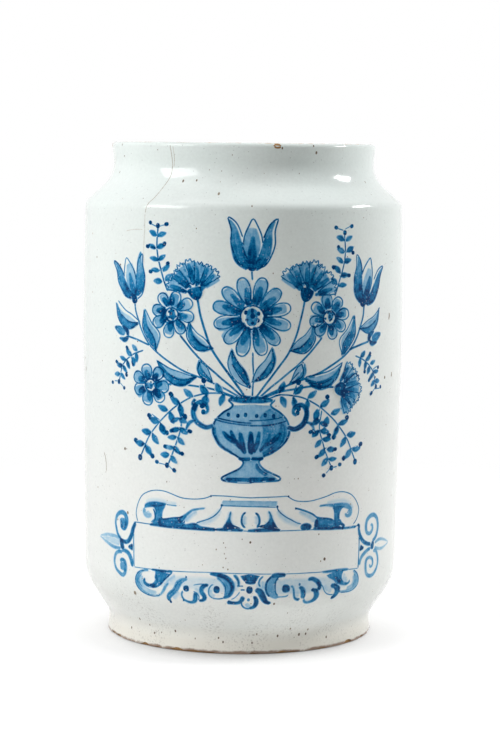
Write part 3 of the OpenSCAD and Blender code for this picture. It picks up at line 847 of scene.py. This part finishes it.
def vase_half():
    """The lines of the right half of a footed vase with a scrolled handle."""
    for k in range(4):
        yield wash(0.95, 0.66, (0.3 + 2.2 * k, 113 + 0.5 * k * k, 1.2),
                   (0.3 + 4.0 * k, 118.5 + 0.3 * k * k, 2.8), (0.3 + 5.1 * k, 126 - 0.1 * k * k, 1.2))
    yield line(0.95, 0.8, (-1, 97.6), (8, 97.7), (15, 98.2), (15.8, 100), (12, 102), (7, 104.6),
               (4.6, 107.2), (4.6, 109.4), (8, 112), (14, 115.2), (18.7, 119.8), (20.6, 125.2),
               (19.4, 130.8), (15.4, 135.2), (11.2, 137.8), (10.2, 139.7), (12.8, 142.4))
    yield wash(0.95, 0.9, (-1, 110.6, 1.5), (4, 110.4, 1.6), (6.2, 111.2, 0.9))
    yield wash(0.85, 0.9, (-1, 99.2, 1.9), (7, 99.3, 2), (13.8, 99.5, 1.4))
    yield line(0.8, 0.78, (-1, 128.3), (8, 128.8), (15, 130), (19.6, 131.4))
    yield line(0.65, 0.7, (-1, 130.6), (7, 131), (14, 132.2), (18, 133.2))
    for k in range(3):
        yield dot(2.6 + 4.8 * k, 134 + 0.1 * k * k, 1.1)
    yield wash(0.8, 0.85, (-1, 142.5, 3.8), (6, 142.4, 3.4), (12, 142.5, 1.2))
    yield wash(0.9, 0.66, (18.8, 128.5, 1.8), (23.5, 127.2, 2.5), (28.6, 130.4, 2.9), (30.2, 136.2, 2.6),
               (27.4, 140.4, 2.2), (23.2, 139.6, 1.9), (22.4, 136, 1.6), (25, 134.6, 1.8))
    yield dot(25.4, 135.6, 1.3, 1.0)
    yield wash(0.85, 0.55, (29.8, 131, 0.8), (33.4, 129.2, 2), (35.6, 125, 0.7))


def vase():
    """A footed vase: its washes, with the shadow on the right, then its lines."""
    yield wash(0.24, 0.24, (0, 111, 12), (0, 113, 20), (0, 115.2, 27), (0, 119.8, 36.6), (0, 125.2, 40.4),
               (0, 130.8, 38), (0, 135.2, 30), (0, 137.8, 22), (0, 140.6, 20.4))
    yield wash(0.36, 0.36, (0, 97.7, 30), (0, 99.4, 31), (0, 101.8, 24), (0, 104.4, 14), (0, 107, 9),
               (0, 110, 9))
    yield wash(0.4, 0.4, (5.5, 113.4, 5), (9.4, 117.4, 9.4), (12.4, 122.5, 13), (12.4, 128, 13),
               (10, 132.6, 11), (6.6, 136.6, 6.5))
    yield wash(0.62, 0.7, (17.6, 131, 2.6), (18.2, 126, 4.2), (16.6, 121, 4.6), (12.4, 116.6, 3.6),
               (7, 113.4, 2))
    yield wash(0.6, 0.62, (-19, 128, 0.9), (-19, 123, 1.8), (-16, 117.8, 2), (-9.6, 113.4, 1.4))
    yield wash(0.66, 0.6, (3.6, 108.4, 1.6), (4.6, 104.8, 2.4), (9.6, 101.4, 2.2))
    yield from placed(vase_half(), flip=-1)
    yield from vase_half()


def greenery_half():
    """The right half of the stems, leaves and sprays."""
    stems = (
        ((2.5, 144), (11, 156), (21, 170), (26.5, 186), (29, 197)),
        ((3.5, 143.6), (14, 152.5), (27, 163.5), (36, 173), (39.5, 177)),
        ((4.5, 143.4), (20, 151), (40, 158.5), (57, 169.5), (65.5, 184), (67.6, 194)),
        ((6, 143), (18, 147), (34, 149), (47, 148.4)),
        ((57, 169.5), (66, 172), (73, 173.6)))
    for path in stems:
        yield line(1.0, 0.74, *path)
    yield from leaf(8.5, (20.5, 169.5), (27, 171.5), (32, 176.5), (33.8, 183.5))
    yield from leaf(8.5, (29, 154), (38, 152), (46, 155), (52.5, 161.5))
    yield from leaf(8, (52.5, 166.5), (54, 173.5), (58.6, 180), (60.4, 188.5))
    yield from leaf(8, (64.5, 181), (71.5, 181.2), (78, 184.8), (82, 191.5))
    yield from leaf(6.5, (20.5, 151.3), (26, 157.5), (28, 163))
    yield from sprig(7, (46.5, 199), (50, 208), (53.6, 221), (53, 234))
    yield from sprig(8.4, (7, 142.6), (17, 145.6), (31, 143), (45, 133.5), (56, 121.5), (63.5, 107.5))
    yield from sprig(7, (40, 136.8), (38.6, 127), (41.5, 117), (46.5, 105.5))
    yield from sprig(6.4, (61, 166.4), (69.5, 163), (76.5, 157), (80, 147.5))


def greenery():
    """The stems, leaves and sprays of the bouquet."""
    yield line(1.0, 0.74, (0, 144.5), (0.4, 157), (0, 169))
    yield line(1.0, 0.74, (0, 206), (-0.3, 210), (0, 214))
    yield from leaf(7.5, (0.3, 152), (5.5, 157), (10, 163.5), (11, 171))
    yield from leaf(7.5, (-0.3, 149), (-5.5, 155), (-10, 162.5), (-10.6, 170))
    yield from placed(greenery_half(), flip=-1)
    yield from greenery_half()


def flowers_half(crown, side, low):
    """The right half of the flowers: the three that are handed in, a small one and a bud."""
    yield from placed(rosette(12.5, 8), 43.5, 187.5, 0.2)
    yield from placed(crown, 29.3, 196, math.radians(14))
    yield from placed(side, 67.8, 194.5, math.radians(16))
    yield from placed(low, 47, 148.4, math.radians(92))
    yield from placed(bud(11), 73, 173.6, math.radians(70))


def flowers():
    """The flowers of the bouquet; its two halves differ a little."""
    yield from placed(flowers_half(carnation(21), tulip(23), placed(rosette(11.5, 7), z=10)), flip=-1)
    yield from flowers_half(carnation(22), tulip(24.5), carnation(19))
    yield from placed(rosette(21, 12), 0, 187.5)
    yield from placed(tulip(27), 0, 213)


# Specks and pits on the front: (x, z, radius, depth)
SPECKS = (
    (-39, 259, 0.7, 1), (-14, 252.6, 0.7, 0.7), (-99, 272, 0.5, 0.6), (-105, 263, 0.6, 0.7),
    (96, 259, 0.5, 0.8), (-99, 216, 0.5, 0.9), (-74, 213, 0.5, 1), (61, 219, 0.3, 0.7), (-60, 172, 0.5, 1),
    (-41, 135, 0.6, 1), (-120, 158, 0.6, 0.7), (95, 151, 0.8, 1), (-70, 112, 0.7, 0.9), (54, 121, 0.9, 1),
    (-5, 88, 0.4, 0.7), (-98, 87, 0.5, 0.7), (6, 65, 0.6, 1), (-6, 50, 0.4, 0.6), (49, 54, 0.8, 1),
    (46.5, 53, 0.4, 0.7), (45, 68, 0.4, 0.8), (20, 30.5, 0.6, 1), (-68, 76.5, 0.8, 0.5),
    (-64, 32, 1.1, 0.4), (-83, 8, 0.68, 1), (-71, 15, 0.68, 1), (-43, 11, 0.68, 1), (-13, 9, 0.54, 1),
    (9, 6.5, 0.54, 1), (26, 10, 0.68, 1), (34, 14, 0.54, 1), (41, 10, 0.81, 1), (46, 10, 0.68, 1),
    (63, 6.5, 0.68, 1), (50.3, 275, 0.8, 1), (48, 278.6, 0.5, 0.9), (25.5, 277.3, 0.6, 1),
    (-101, 278.3, 0.6, 1), (-8.5, 64.5, 0.3, 0.7), (-7.4, 62, 0.3, 0.6), (-8, 58.6, 0.3, 0.8),
    (-7.2, 56, 0.35, 0.7), (-20, 52, 0.3, 0.5), (-8.6, 51, 0.35, 0.7), (-60, 8, 0.6, 1), (-10, 6.8, 0.6, 1),
    (12, 11.5, 0.5, 0.9), (-54, 9, 0.4, 0.8),
)


def age_marks(seed):
    """Specks and pits of the glaze, in millimetres on the wall."""
    chance = random.Random(seed)
    for x, z, radius, depth in SPECKS:
        yield dot(x, z, radius, depth)
    for low, high, count in ((14, 276, 210), (6, 13, 46)):
        for _ in range(count):
            radius = min(0.6, 0.2 + chance.expovariate(9))
            yield dot(chance.uniform(-math.pi, math.pi) * WALL_MM, chance.uniform(low, high), radius,
                      chance.uniform(0.25, 0.9))
    for x, z, tall in ((99, 185, 4.4), (104, 152, 3), (-119, 152, 3.4), (30, 203, 2)):
        yield wash(0.5, 1, (x, z + tall / 2, 0.4), (x + 0.5, z, 1.0), (x - 0.3, z - tall / 2, 0.4))


CRACK = (
    line(0.26, 0.42, (-50.5, 279), (-49.4, 272.5), (-49, 266.5), (-49.3, 261.6), (-51.2, 256.6),
         (-52.6, 250.5), (-54.8, 246.5), (-56, 241.5)),
    line(0.24, 0.22, (-56, 241.5), (-56.2, 233), (-56.6, 223), (-56.2, 214)),
    line(0.2, 0.3, (-48.4, 278), (-47.6, 272), (-48, 266)),
    line(0.24, 0.25, (-70, 231.5), (-64, 232.6), (-57, 232.8)),
    line(0.26, 0.7, (-90, 108), (-88.6, 105), (-87.6, 101), (-87.4, 97)),
)

CHIPS = (
    line(0.6, 0.5, (19.7, 278.5), (20.6, 279), (22.2, 279.1), (23.8, 278.8), (24.5, 278), (23, 277.4),
         (21, 277.5), closed=True),
    wash(0.4, 0.5, (-133, 278.8, 1.2), (-131.5, 278.2, 1.8), (-130, 278.9, 1.0)),
    wash(0.5, 0.3, (150, 278.8, 1.1), (153, 278.1, 2.0), (156, 279, 1.0)),
    wash(0.5, 0.3, (-190, 278.9, 1.1), (-187, 278.3, 1.8), (-184, 279, 1.0)),
)


# Materials


def add_node(tree, kind, inputs=None, stops=(), **settings):
    """Adds a node with its settings; an input takes a value, a socket or a node."""
    node = tree.nodes.new("ShaderNode" + kind)
    for name, value in settings.items():
        setattr(node, name, value)
    for key, value in (inputs or {}).items():
        # A node feeds an input by its first socket in use
        if isinstance(value, bpy.types.Node):
            value = next(socket for socket in value.outputs if socket.enabled)
        if isinstance(value, bpy.types.NodeSocket):
            tree.links.new(value, node.inputs[key])
        else:
            node.inputs[key].default_value = value
    for k, (position, colour) in enumerate(stops):
        ramp = node.color_ramp.elements
        stop = ramp[k] if k < 2 else ramp.new(position)
        stop.position, stop.color = position, colour
    return node


def new_material(name):
    """An empty node material, with what adds a node to it and its Object coordinates."""
    material = bpy.data.materials.new(name)
    material.use_nodes = True
    material.node_tree.nodes.clear()
    add = functools.partial(add_node, material.node_tree)
    return material, add, add("TexCoord").outputs["Object"]


def glaze_skin(add, where, base, glare=0.3):
    """Gloss and bump of a thick fired glaze over the colour that base gives.

    The glaze ran a little as it melted, so its gloss is even but its surface is never quite flat."""
    roughness = bpy.context.scene.albarello_finish.roughness
    runs = add("TexNoise", {"Vector": where, "Scale": 1 / (14 * MM), "Detail": 2.0})
    peel = add("TexNoise", {"Vector": where, "Scale": 1 / (2.2 * MM), "Detail": 2.0})
    dull = add("MapRange", {
        "Value": runs, "From Min": 0.3, "From Max": 0.75,
        "To Min": roughness - 0.03, "To Max": roughness + 0.07})
    slow = add("Bump", {"Height": runs, "Strength": 0.35, "Distance": 0.25 * MM})
    fine = add("Bump", {"Height": peel, "Strength": 0.3, "Distance": 0.03 * MM, "Normal": slow})
    return add("BsdfPrincipled", {
        "Base Color": base, "Roughness": dull, "Normal": fine, "IOR": 1.52, "Specular IOR Level": glare})


def glaze_colour(add, where):
    """The white of the glaze: clouded, mottled and pricked, and a little blue-green higher up the jar."""
    finish = bpy.context.scene.albarello_finish
    height = add("SeparateXYZ", {"Vector": where}).outputs["Z"]
    clouds = add("TexNoise", {"Vector": where, "Scale": 1 / (48 * MM), "Detail": 3.0})
    # The blue-green tint grows with height, from the middle of the body up to the neck
    higher_up = add("MapRange", {
        "Value": height, "From Min": 90 * MM, "From Max": 262 * MM, "To Min": -0.15, "To Max": 0.6})
    share = add("Math", {0: clouds, 1: 0.6, 2: higher_up}, operation="MULTIPLY_ADD", use_clamp=True)
    body = add("Mix", {0: share, 6: finish.white, 7: finish.cool}, data_type="RGBA")
    specks = add("TexNoise", {"Vector": where, "Scale": 1 / (1.6 * MM), "Detail": 4.0})
    mottle = add("MapRange", {
        "Value": specks, "From Min": 0.25, "From Max": 0.75, "To Min": 0.955, "To Max": 1.02})
    pricks = add("TexVoronoi", {"Vector": where, "Scale": 1 / (2.4 * MM)})
    prick = add("MapRange", {
        "Value": pricks, "From Min": 0.15, "From Max": 0.07, "To Min": 0.0, "To Max": 0.32})
    few = add("Math", {0: pricks.outputs["Color"], 1: 0.55}, operation="GREATER_THAN")
    dark = add("Math", {0: prick, 1: few}, operation="MULTIPLY")
    light = add("Math", {0: mottle, 1: dark}, operation="SUBTRACT")
    return add("Mix", {0: 1.0, 6: body, 7: light}, data_type="RGBA", blend_type="MULTIPLY")


def tin_glaze_outside():
    """Tin-opacified lead glaze, dipped and fired: an opaque milky white with a deep gloss.

    It is stained warm near the clay of the foot, dusty there in drifts, worn through along the rim and
    soiled at its ragged lower edge."""
    finish = bpy.context.scene.albarello_finish
    material, add, where = new_material("tin_glaze_dipped")
    height = add("SeparateXYZ", {"Vector": where}).outputs["Z"]
    low = add("MapRange", {
        "Value": height, "From Min": 16 * MM, "From Max": 6 * MM, "To Min": 0.0, "To Max": 0.85})
    colour = add("Mix", {0: low, 6: glaze_colour(add, where), 7: finish.warm}, data_type="RGBA")
    grains = add("TexNoise", {"Vector": where, "Scale": 1 / (1.1 * MM), "Detail": 3.0})
    drifts = add("TexNoise", {"Vector": where, "Scale": 1 / (19 * MM), "Detail": 3.0})
    dust = add("MapRange", {
        "Value": height, "From Min": 44 * MM, "From Max": 16 * MM, "To Min": 0.0, "To Max": 0.42})
    for source, least, most in ((grains, 0.52, 0.74), (drifts, 0.4, 0.66)):
        share = add("MapRange", {"Value": source, "From Min": least, "From Max": most})
        dust = add("Math", {0: dust, 1: share}, operation="MULTIPLY")
    colour = add("Mix", {0: dust, 6: colour, 7: finish.grime}, data_type="RGBA")
    ragged = add("TexNoise", {"Vector": where, "Scale": 1 / (5 * MM), "Detail": 3.0})
    edges = (
        (JAR_H - 1.1 * MM, JAR_H + 0.3 * MM, 0.28, 0.46, 0.75, finish.clay),
        (GLAZE_FOOT + 1.6 * MM, GLAZE_FOOT - 0.6 * MM, 0.2, 0.42, 0.8, finish.clay_dark))
    for start, edge, least, most, strength, below in edges:
        near = add("MapRange", {"Value": height, "From Min": start, "From Max": edge})
        broken = add("Math", {0: near, 1: ragged}, operation="MULTIPLY")
        worn = add("MapRange", {"Value": broken, "From Min": least, "From Max": most, "To Max": strength})
        colour = add("Mix", {0: worn, 6: colour, 7: below}, data_type="RGBA")
    add("OutputMaterial", {"Surface": glaze_skin(add, where, colour)})
    return material


def tin_glaze_inside():
    """The same glaze poured inside: a little thinner and greyer, stained on the floor."""
    finish = bpy.context.scene.albarello_finish
    material, add, where = new_material("tin_glaze_poured")
    height = add("SeparateXYZ", {"Vector": where}).outputs["Z"]
    clouds = add("TexNoise", {"Vector": where, "Scale": 1 / (40 * MM), "Detail": 4.0})
    body = add("Mix", {0: clouds, 6: finish.cool, 7: finish.warm}, data_type="RGBA")
    low = add("MapRange", {"Value": height, "From Min": 60 * MM, "From Max": 8 * MM})
    patch = add("Math", {0: low, 1: clouds}, operation="MULTIPLY")
    dregs = add("MapRange", {"Value": patch, "From Min": 0.3, "From Max": 0.7, "To Max": 0.45})
    stained = add("Mix", {0: dregs, 6: body, 7: finish.clay}, data_type="RGBA")
    add("OutputMaterial", {"Surface": glaze_skin(add, where, stained)})
    return material


def fired_clay():
    """Earthenware, thrown, turned at the foot and fired: dry and buff, with grit, turning rings and grime."""
    finish = bpy.context.scene.albarello_finish
    material, add, where = new_material("fired_earthenware")
    height = add("SeparateXYZ", {"Vector": where}).outputs["Z"]
    clouds = add("TexNoise", {"Vector": where, "Scale": 1 / (18 * MM), "Detail": 5.0})
    grit = add("TexNoise", {"Vector": where, "Scale": 1 / (0.9 * MM), "Detail": 3.0})
    rings = add("TexWave", {
        "Vector": where, "Scale": math.tau / (20 * 3.2 * MM), "Distortion": 1.5, "Detail": 2.0,
        "Detail Scale": 3.0}, wave_type="RINGS", rings_direction="Z").outputs["Fac"]
    body = add("Mix", {0: clouds, 6: finish.clay, 7: finish.clay_dark}, data_type="RGBA")
    grain = add("MapRange", {
        "Value": grit, "From Min": 0.3, "From Max": 0.7, "To Min": 0.82, "To Max": 1.1})
    grainy = add("Mix", {0: 1.0, 6: body, 7: grain}, data_type="RGBA", blend_type="MULTIPLY")
    low = add("MapRange", {
        "Value": height, "From Min": 1.4 * MM, "From Max": 0.1 * MM, "To Min": 0.0, "To Max": 0.8})
    dirt = add("Math", {0: low, 1: clouds}, operation="MULTIPLY")
    soiled = add("Mix", {0: dirt, 6: grainy, 7: finish.grime}, data_type="RGBA")
    turning = add("Bump", {"Height": rings, "Strength": 0.5, "Distance": 0.2 * MM})
    rough = add("Bump", {"Height": grit, "Strength": 0.6, "Distance": 0.12 * MM, "Normal": turning})
    skin = add("BsdfPrincipled", {"Base Color": soiled, "Roughness": 0.85, "IOR": 1.5, "Normal": rough})
    add("OutputMaterial", {"Surface": skin})
    return material


def cobalt_blue():
    """Cobalt brushed on the raw glaze and fired into it: mottled washes with dark pools, under a soft gloss.

    The brush's hairs leave streaks and the bubbling glaze leaves pale pinholes; both are drawn about twice as
    coarse as they are, so that they show."""
    finish = bpy.context.scene.albarello_finish
    material, add, where = new_material("cobalt_in_glaze")
    tone = add("Attribute", attribute_name="tone").outputs["Fac"]
    along = add("Attribute", attribute_name="brush").outputs["Vector"]
    hairs = add("Mapping", {"Vector": along, "Scale": (1 / 9, 1 / 0.8, 5.3)})
    streaks = add("TexNoise", {"Vector": hairs, "Scale": 1.0, "Detail": 2.0})
    pools = add("TexNoise", {"Vector": where, "Scale": 1 / (3.2 * MM), "Detail": 3.0})
    grain = add("TexNoise", {"Vector": where, "Scale": 1 / (0.9 * MM), "Detail": 2.0})
    strength = tone
    for source, amount in ((streaks, 0.6), (pools, 0.9), (grain, 0.6)):
        shift = add("Math", {0: source, 1: 0.5}, operation="SUBTRACT")
        share = add("Math", {0: shift, 1: amount}, operation="MULTIPLY")
        strength = add("Math", {0: share, 1: tone, 2: strength}, operation="MULTIPLY_ADD")
    colour = add("ValToRGB", {"Fac": strength}, stops=(
        (0.0, finish.blue_faint), (1.0, finish.blue_deep), (0.18, finish.blue_faint), (0.4, finish.blue_pale),
        (0.64, finish.blue_mid), (0.86, finish.blue_dark)))
    holes = add("TexVoronoi", {"Vector": where, "Scale": 1 / (1.9 * MM)})
    pinhole = add("MapRange", {
        "Value": holes, "From Min": 0.26, "From Max": 0.08, "To Min": 0.0, "To Max": 0.26})
    some = add("Math", {0: holes.outputs["Color"], 1: 0.55}, operation="GREATER_THAN")
    pale = add("Math", {0: pinhole, 1: some}, operation="MULTIPLY")
    full = add("Math", {0: 1.0, 1: pale}, operation="SUBTRACT")
    covered = add("MapRange", {"Value": strength, "From Min": 0.0, "From Max": 0.18})
    stain = add("Math", {0: full, 1: covered}, operation="MULTIPLY")
    stained = add("Mix", {0: stain, 6: glaze_colour(add, where), 7: colour}, data_type="RGBA")
    add("OutputMaterial", {"Surface": glaze_skin(add, where, stained, glare=0.14)})
    return material


def grime_in_pits():
    """Old dirt in pits, scratches and a crack of the glaze: matt, dark where deep and grey where thin."""
    finish = bpy.context.scene.albarello_finish
    material, add, where = new_material("grime")
    tone = add("Attribute", attribute_name="tone").outputs["Fac"]
    crumbs = add("TexNoise", {"Vector": where, "Scale": 1 / (0.8 * MM), "Detail": 2.0})
    depth = add("Math", {0: tone, 1: crumbs}, operation="MULTIPLY")
    colour = add("ValToRGB", {"Fac": depth}, stops=(
        (0.0, linear("#b3a795")), (0.55, finish.grime), (0.3, linear("#8a7a68"))))
    covered = add("MapRange", {"Value": depth, "From Min": 0.0, "From Max": 0.2})
    stained = add("Mix", {0: covered, 6: glaze_colour(add, where), 7: colour}, data_type="RGBA")
    skin = add("BsdfPrincipled", {"Base Color": stained, "Roughness": 0.4})
    add("OutputMaterial", {"Surface": skin})
    return material


def studio_floor():
    """Matt white paper: it bounces light and reads white where it is seen, and a shadow round the foot is
    painted into its glow.

    It melts into the white room well before its edge."""
    material, add, where = new_material("white_paper")
    path = add("LightPath")
    camera = path.outputs["Is Camera Ray"]
    seen = add("Math", {0: camera, 1: path.outputs["Is Glossy Ray"]}, operation="MAXIMUM")
    seen = add("Math", {0: seen, 1: path.outputs["Is Transmission Ray"]}, operation="MAXIMUM")
    paper = add("BsdfDiffuse", {"Color": linear("#f4f4f2")})
    shown = add("BsdfDiffuse", {"Color": linear("#8f8f8e")})
    # Painted shadow: the white glow is dimmed where the jar hides the floor along a slant that leans back, so
    # the shadow falls mostly in front of the foot
    behind = add("CombineXYZ", {"Y": 1.1, "Z": 1.0})
    shadow_occlusion = add("AmbientOcclusion", {"Distance": 42 * MM, "Normal": behind}, samples=16).outputs["AO"]
    glow_with_painted_shadow = add("ValToRGB", {"Fac": shadow_occlusion}, stops=(
        (0.2, linear("#808080")), (0.8, linear("#e7e7e7")), (0.42, linear("#cecece"))))
    glow = add("Emission", {"Color": glow_with_painted_shadow, "Strength": 1.0})
    white = add("AddShader", {0: shown, 1: glow})
    surface = add("MixShader", {0: seen, 1: paper, 2: white})
    spread = add("VectorMath", {0: where}, operation="LENGTH")
    fade = add("MapRange", {"Value": spread, "From Min": 0.35, "From Max": 0.75},
               interpolation_type="SMOOTHSTEP")
    melt = add("Math", {0: fade, 1: camera}, operation="MULTIPLY")
    faded = add("MixShader", {0: melt, 1: surface, 2: add("BsdfTransparent")})
    add("OutputMaterial", {"Surface": faded})
    return material


# Operators


class ALBARELLO_OT_clay(bpy.types.Operator):
    """Throws the clay body, with its bare foot and base"""

    bl_idname = "albarello.clay"
    bl_label = "Clay body"

    def execute(self, context):
        hands = context.scene.albarello_throwing
        bm = turned("clay_body", CLAY_EDGE, hands.steps)
        throw(bm, hands)
        finish_piece(bm, "fired_body", fired_clay(), "fired_clay", ["clay_body"])
        return {"FINISHED"}


class ALBARELLO_OT_glaze_outside(bpy.types.Operator):
    """Dips the outside in glaze, which stops in a ragged edge above the foot"""

    bl_idname = "albarello.glaze_outside"
    bl_label = "Outside glaze"

    def execute(self, context):
        hands = context.scene.albarello_throwing
        bm = turned("outer_glaze", OUTSIDE_EDGE, hands.steps)
        ragged_edge(bm, hands.ragged)
        throw(bm, hands)
        finish_piece(bm, "glaze_outside", tin_glaze_outside(), "tin_glaze", ["outer_glaze"])
        return {"FINISHED"}


class ALBARELLO_OT_glaze_inside(bpy.types.Operator):
    """Pours the glaze inside, from the lip down over the floor"""

    bl_idname = "albarello.glaze_inside"
    bl_label = "Inside glaze"

    def execute(self, context):
        hands = context.scene.albarello_throwing
        bm = turned("inner_glaze", INSIDE_EDGE, hands.steps)
        throw(bm, hands)
        finish_piece(bm, "glaze_inside", tin_glaze_inside(), "tin_glaze", ["inner_glaze"])
        return {"FINISHED"}


class ALBARELLO_OT_label(bpy.types.Operator):
    """Paints the scrolled frame round the blank label"""

    bl_idname = "albarello.label"
    bl_label = "Scrolled label"

    def execute(self, context):
        film = context.scene.albarello_painting.film
        blue = bpy.data.materials.get("cobalt_in_glaze") or cobalt_blue()
        parts = {"painted_label": LABEL, "painted_crest": CREST, "painted_volutes": VOLUTES,
                 "painted_scroll": LOWER_SCROLL}
        under = {}
        for seed, (name, strokes) in enumerate(parts.items(), LABEL_SEED):
            bm = lay_strokes(strokes, film, LABEL_FREEDOM, seed, under)
            finish_piece(bm, name, blue, "cobalt_blue", film=film)
        return {"FINISHED"}


class ALBARELLO_OT_bouquet(bpy.types.Operator):
    """Paints a vase of flowers above the label"""

    bl_idname = "albarello.bouquet"
    bl_label = "Bouquet"

    def execute(self, context):
        painting = context.scene.albarello_painting
        blue = bpy.data.materials.get("cobalt_in_glaze") or cobalt_blue()
        parts = {"painted_leaves": greenery(), "painted_flowers": flowers(), "painted_vase": vase()}
        under = {}
        for seed, (name, strokes) in enumerate(parts.items(), BOUQUET_SEED):
            sloped = []
            for stroke in strokes:
                points = [(painting.centre + x, z + painting.slope * x, w) for x, z, w in stroke.points]
                sloped.append(stroke._replace(points=points))
            bm = lay_strokes(sloped, painting.film, painting.freedom, seed, under)
            finish_piece(bm, name, blue, "cobalt_blue", film=painting.film)
        return {"FINISHED"}


class ALBARELLO_OT_age(bpy.types.Operator):
    """Adds the marks of age: specks, a hairline crack, scratches and chips on the rim"""

    bl_idname = "albarello.age"
    bl_label = "Age"

    def execute(self, context):
        film = context.scene.albarello_painting.film
        grime = grime_in_pits()
        clay = bpy.data.materials.get("fired_earthenware") or fired_clay()
        marks = (
            ("glaze_specks", age_marks(SCATTER_SEED), 0, SPECK_SEED, grime, "tin_glaze"),
            ("glaze_crack", CRACK, CRACK_FREEDOM, CRACK_SEED, grime, "tin_glaze"),
            ("rim_chips", CHIPS, CHIP_FREEDOM, CHIP_SEED, clay, "fired_clay"))
        for name, strokes, freedom, seed, material, slot in marks:
            finish_piece(lay_strokes(strokes, film, freedom, seed), name, material, slot, film=film)
        return {"FINISHED"}


class ALBARELLO_OT_stage(bpy.types.Operator):
    """Sets up the white floor, the soft lights and the camera"""

    bl_idname = "albarello.stage"
    bl_label = "Stage"

    def execute(self, context):
        scene = context.scene
        stage = scene.albarello_stage
        scene.view_settings.view_transform = "Standard"
        self.lay_floor(scene)
        self.light_room(scene, stage.ambient)
        for name, (place, size) in LAMPS.items():
            self.hang_lamp(scene, name + "_light", place, size, getattr(stage, name))
        self.place_camera(scene, stage)
        return {"FINISHED"}

    @staticmethod
    def lay_floor(scene):
        """A round sheet of white paper under the jar."""
        bm = bmesh.new()
        bmesh.ops.create_circle(bm, cap_ends=True, segments=FLOOR_SIDES, radius=FLOOR_R)
        mesh = bpy.data.meshes.new("floor")
        bm.to_mesh(mesh)
        bm.free()
        mesh.materials.append(studio_floor())
        floor = bpy.data.objects.new("floor", mesh)
        scene.collection.objects.link(floor)

    @staticmethod
    def light_room(scene, ambient):
        """A white room that is dim on the camera's side: white where it is seen, plain where it lights."""
        world = bpy.data.worlds.new("studio")
        world.use_nodes = True
        world.node_tree.nodes.clear()
        add = functools.partial(add_node, world.node_tree)
        path = add("LightPath")
        toward = add("SeparateXYZ", {"Vector": add("TexCoord").outputs["Generated"]}).outputs["Y"]
        room = add("MapRange", {
            "Value": toward, "From Min": -0.6, "From Max": 0.3, "To Min": 0.07, "To Max": 1.0})
        lit = add("Math", {0: room, 1: ambient}, operation="MULTIPLY")
        mirrored = add("Mix", {0: path.outputs["Is Glossy Ray"], 2: lit, 3: room}, data_type="FLOAT")
        through = add("Math", {
            0: path.outputs["Is Camera Ray"], 1: path.outputs["Is Transmission Ray"]}, operation="MAXIMUM")
        shown = add("Mix", {0: through, 2: mirrored, 3: 1.0}, data_type="FLOAT")
        sky = add("Background", {"Color": linear("#ffffff"), "Strength": shown})
        add("OutputWorld", {"Surface": sky})
        scene.world = world

    @staticmethod
    def hang_lamp(scene, name, place, size, strength):
        """A soft light aimed at the middle of the jar."""
        data = bpy.data.lights.new(name, "AREA")
        data.shape, data.size, data.size_y, data.energy = "RECTANGLE", *size, strength
        lamp = bpy.data.objects.new(name, data)
        aim = Vector((0, 0, JAR_H / 2)) - Vector(place)
        lamp.matrix_world = Matrix.Translation(place) @ aim.to_track_quat("-Z", "Y").to_matrix().to_4x4()
        scene.collection.objects.link(lamp)

    @staticmethod
    def place_camera(scene, stage):
        """A camera that looks a little down on the front, turned slightly about its own view."""
        data = bpy.data.cameras.new("camera")
        data.lens, data.sensor_width, data.sensor_fit = stage.lens, SENSOR, "AUTO"
        camera = bpy.data.objects.new("camera", data)
        camera.matrix_world = (
            Matrix.Translation((stage.aside, -stage.distance, stage.eye))
            @ Matrix.Rotation(math.pi / 2 - stage.pitch, 4, "X")
            @ Matrix.Rotation(stage.roll, 4, "Z"))
        scene.collection.objects.link(camera)
        scene.camera = camera


class ALBARELLO_PT_panel(bpy.types.Panel):
    """Lists the steps that dress the jar, with their settings"""

    bl_idname = "ALBARELLO_PT_panel"
    bl_label = "Albarello"
    bl_space_type = "VIEW_3D"
    bl_region_type = "UI"
    bl_category = "Albarello"

    def draw(self, context):
        for operator in STEPS:
            self.layout.operator(operator.bl_idname)
        for group in SETTINGS:
            box = self.layout.box()
            settings = getattr(context.scene, group)
            for name in settings.__annotations__:
                box.prop(settings, name)


STEPS = (
    ALBARELLO_OT_clay, ALBARELLO_OT_glaze_outside, ALBARELLO_OT_glaze_inside, ALBARELLO_OT_label,
    ALBARELLO_OT_bouquet, ALBARELLO_OT_age, ALBARELLO_OT_stage)
SETTINGS = {
    "albarello_throwing": AlbarelloThrowing, "albarello_finish": AlbarelloFinish,
    "albarello_painting": AlbarelloPainting, "albarello_stage": AlbarelloStage}


def register():
    for cls in (*SETTINGS.values(), *STEPS, ALBARELLO_PT_panel):
        bpy.utils.register_class(cls)
    for name, cls in SETTINGS.items():
        setattr(bpy.types.Scene, name, bpy.props.PointerProperty(type=cls))


def unregister():
    for name in SETTINGS:
        delattr(bpy.types.Scene, name)
    for cls in (ALBARELLO_PT_panel, *reversed(STEPS), *SETTINGS.values()):
        bpy.utils.unregister_class(cls)


def main():
    register()
    bpy.ops.albarello.clay()
    bpy.ops.albarello.glaze_outside()
    bpy.ops.albarello.glaze_inside()
    bpy.ops.albarello.label()
    bpy.ops.albarello.bouquet()
    bpy.ops.albarello.age()
    bpy.ops.albarello.stage()


if __name__ == "__main__":
    main()
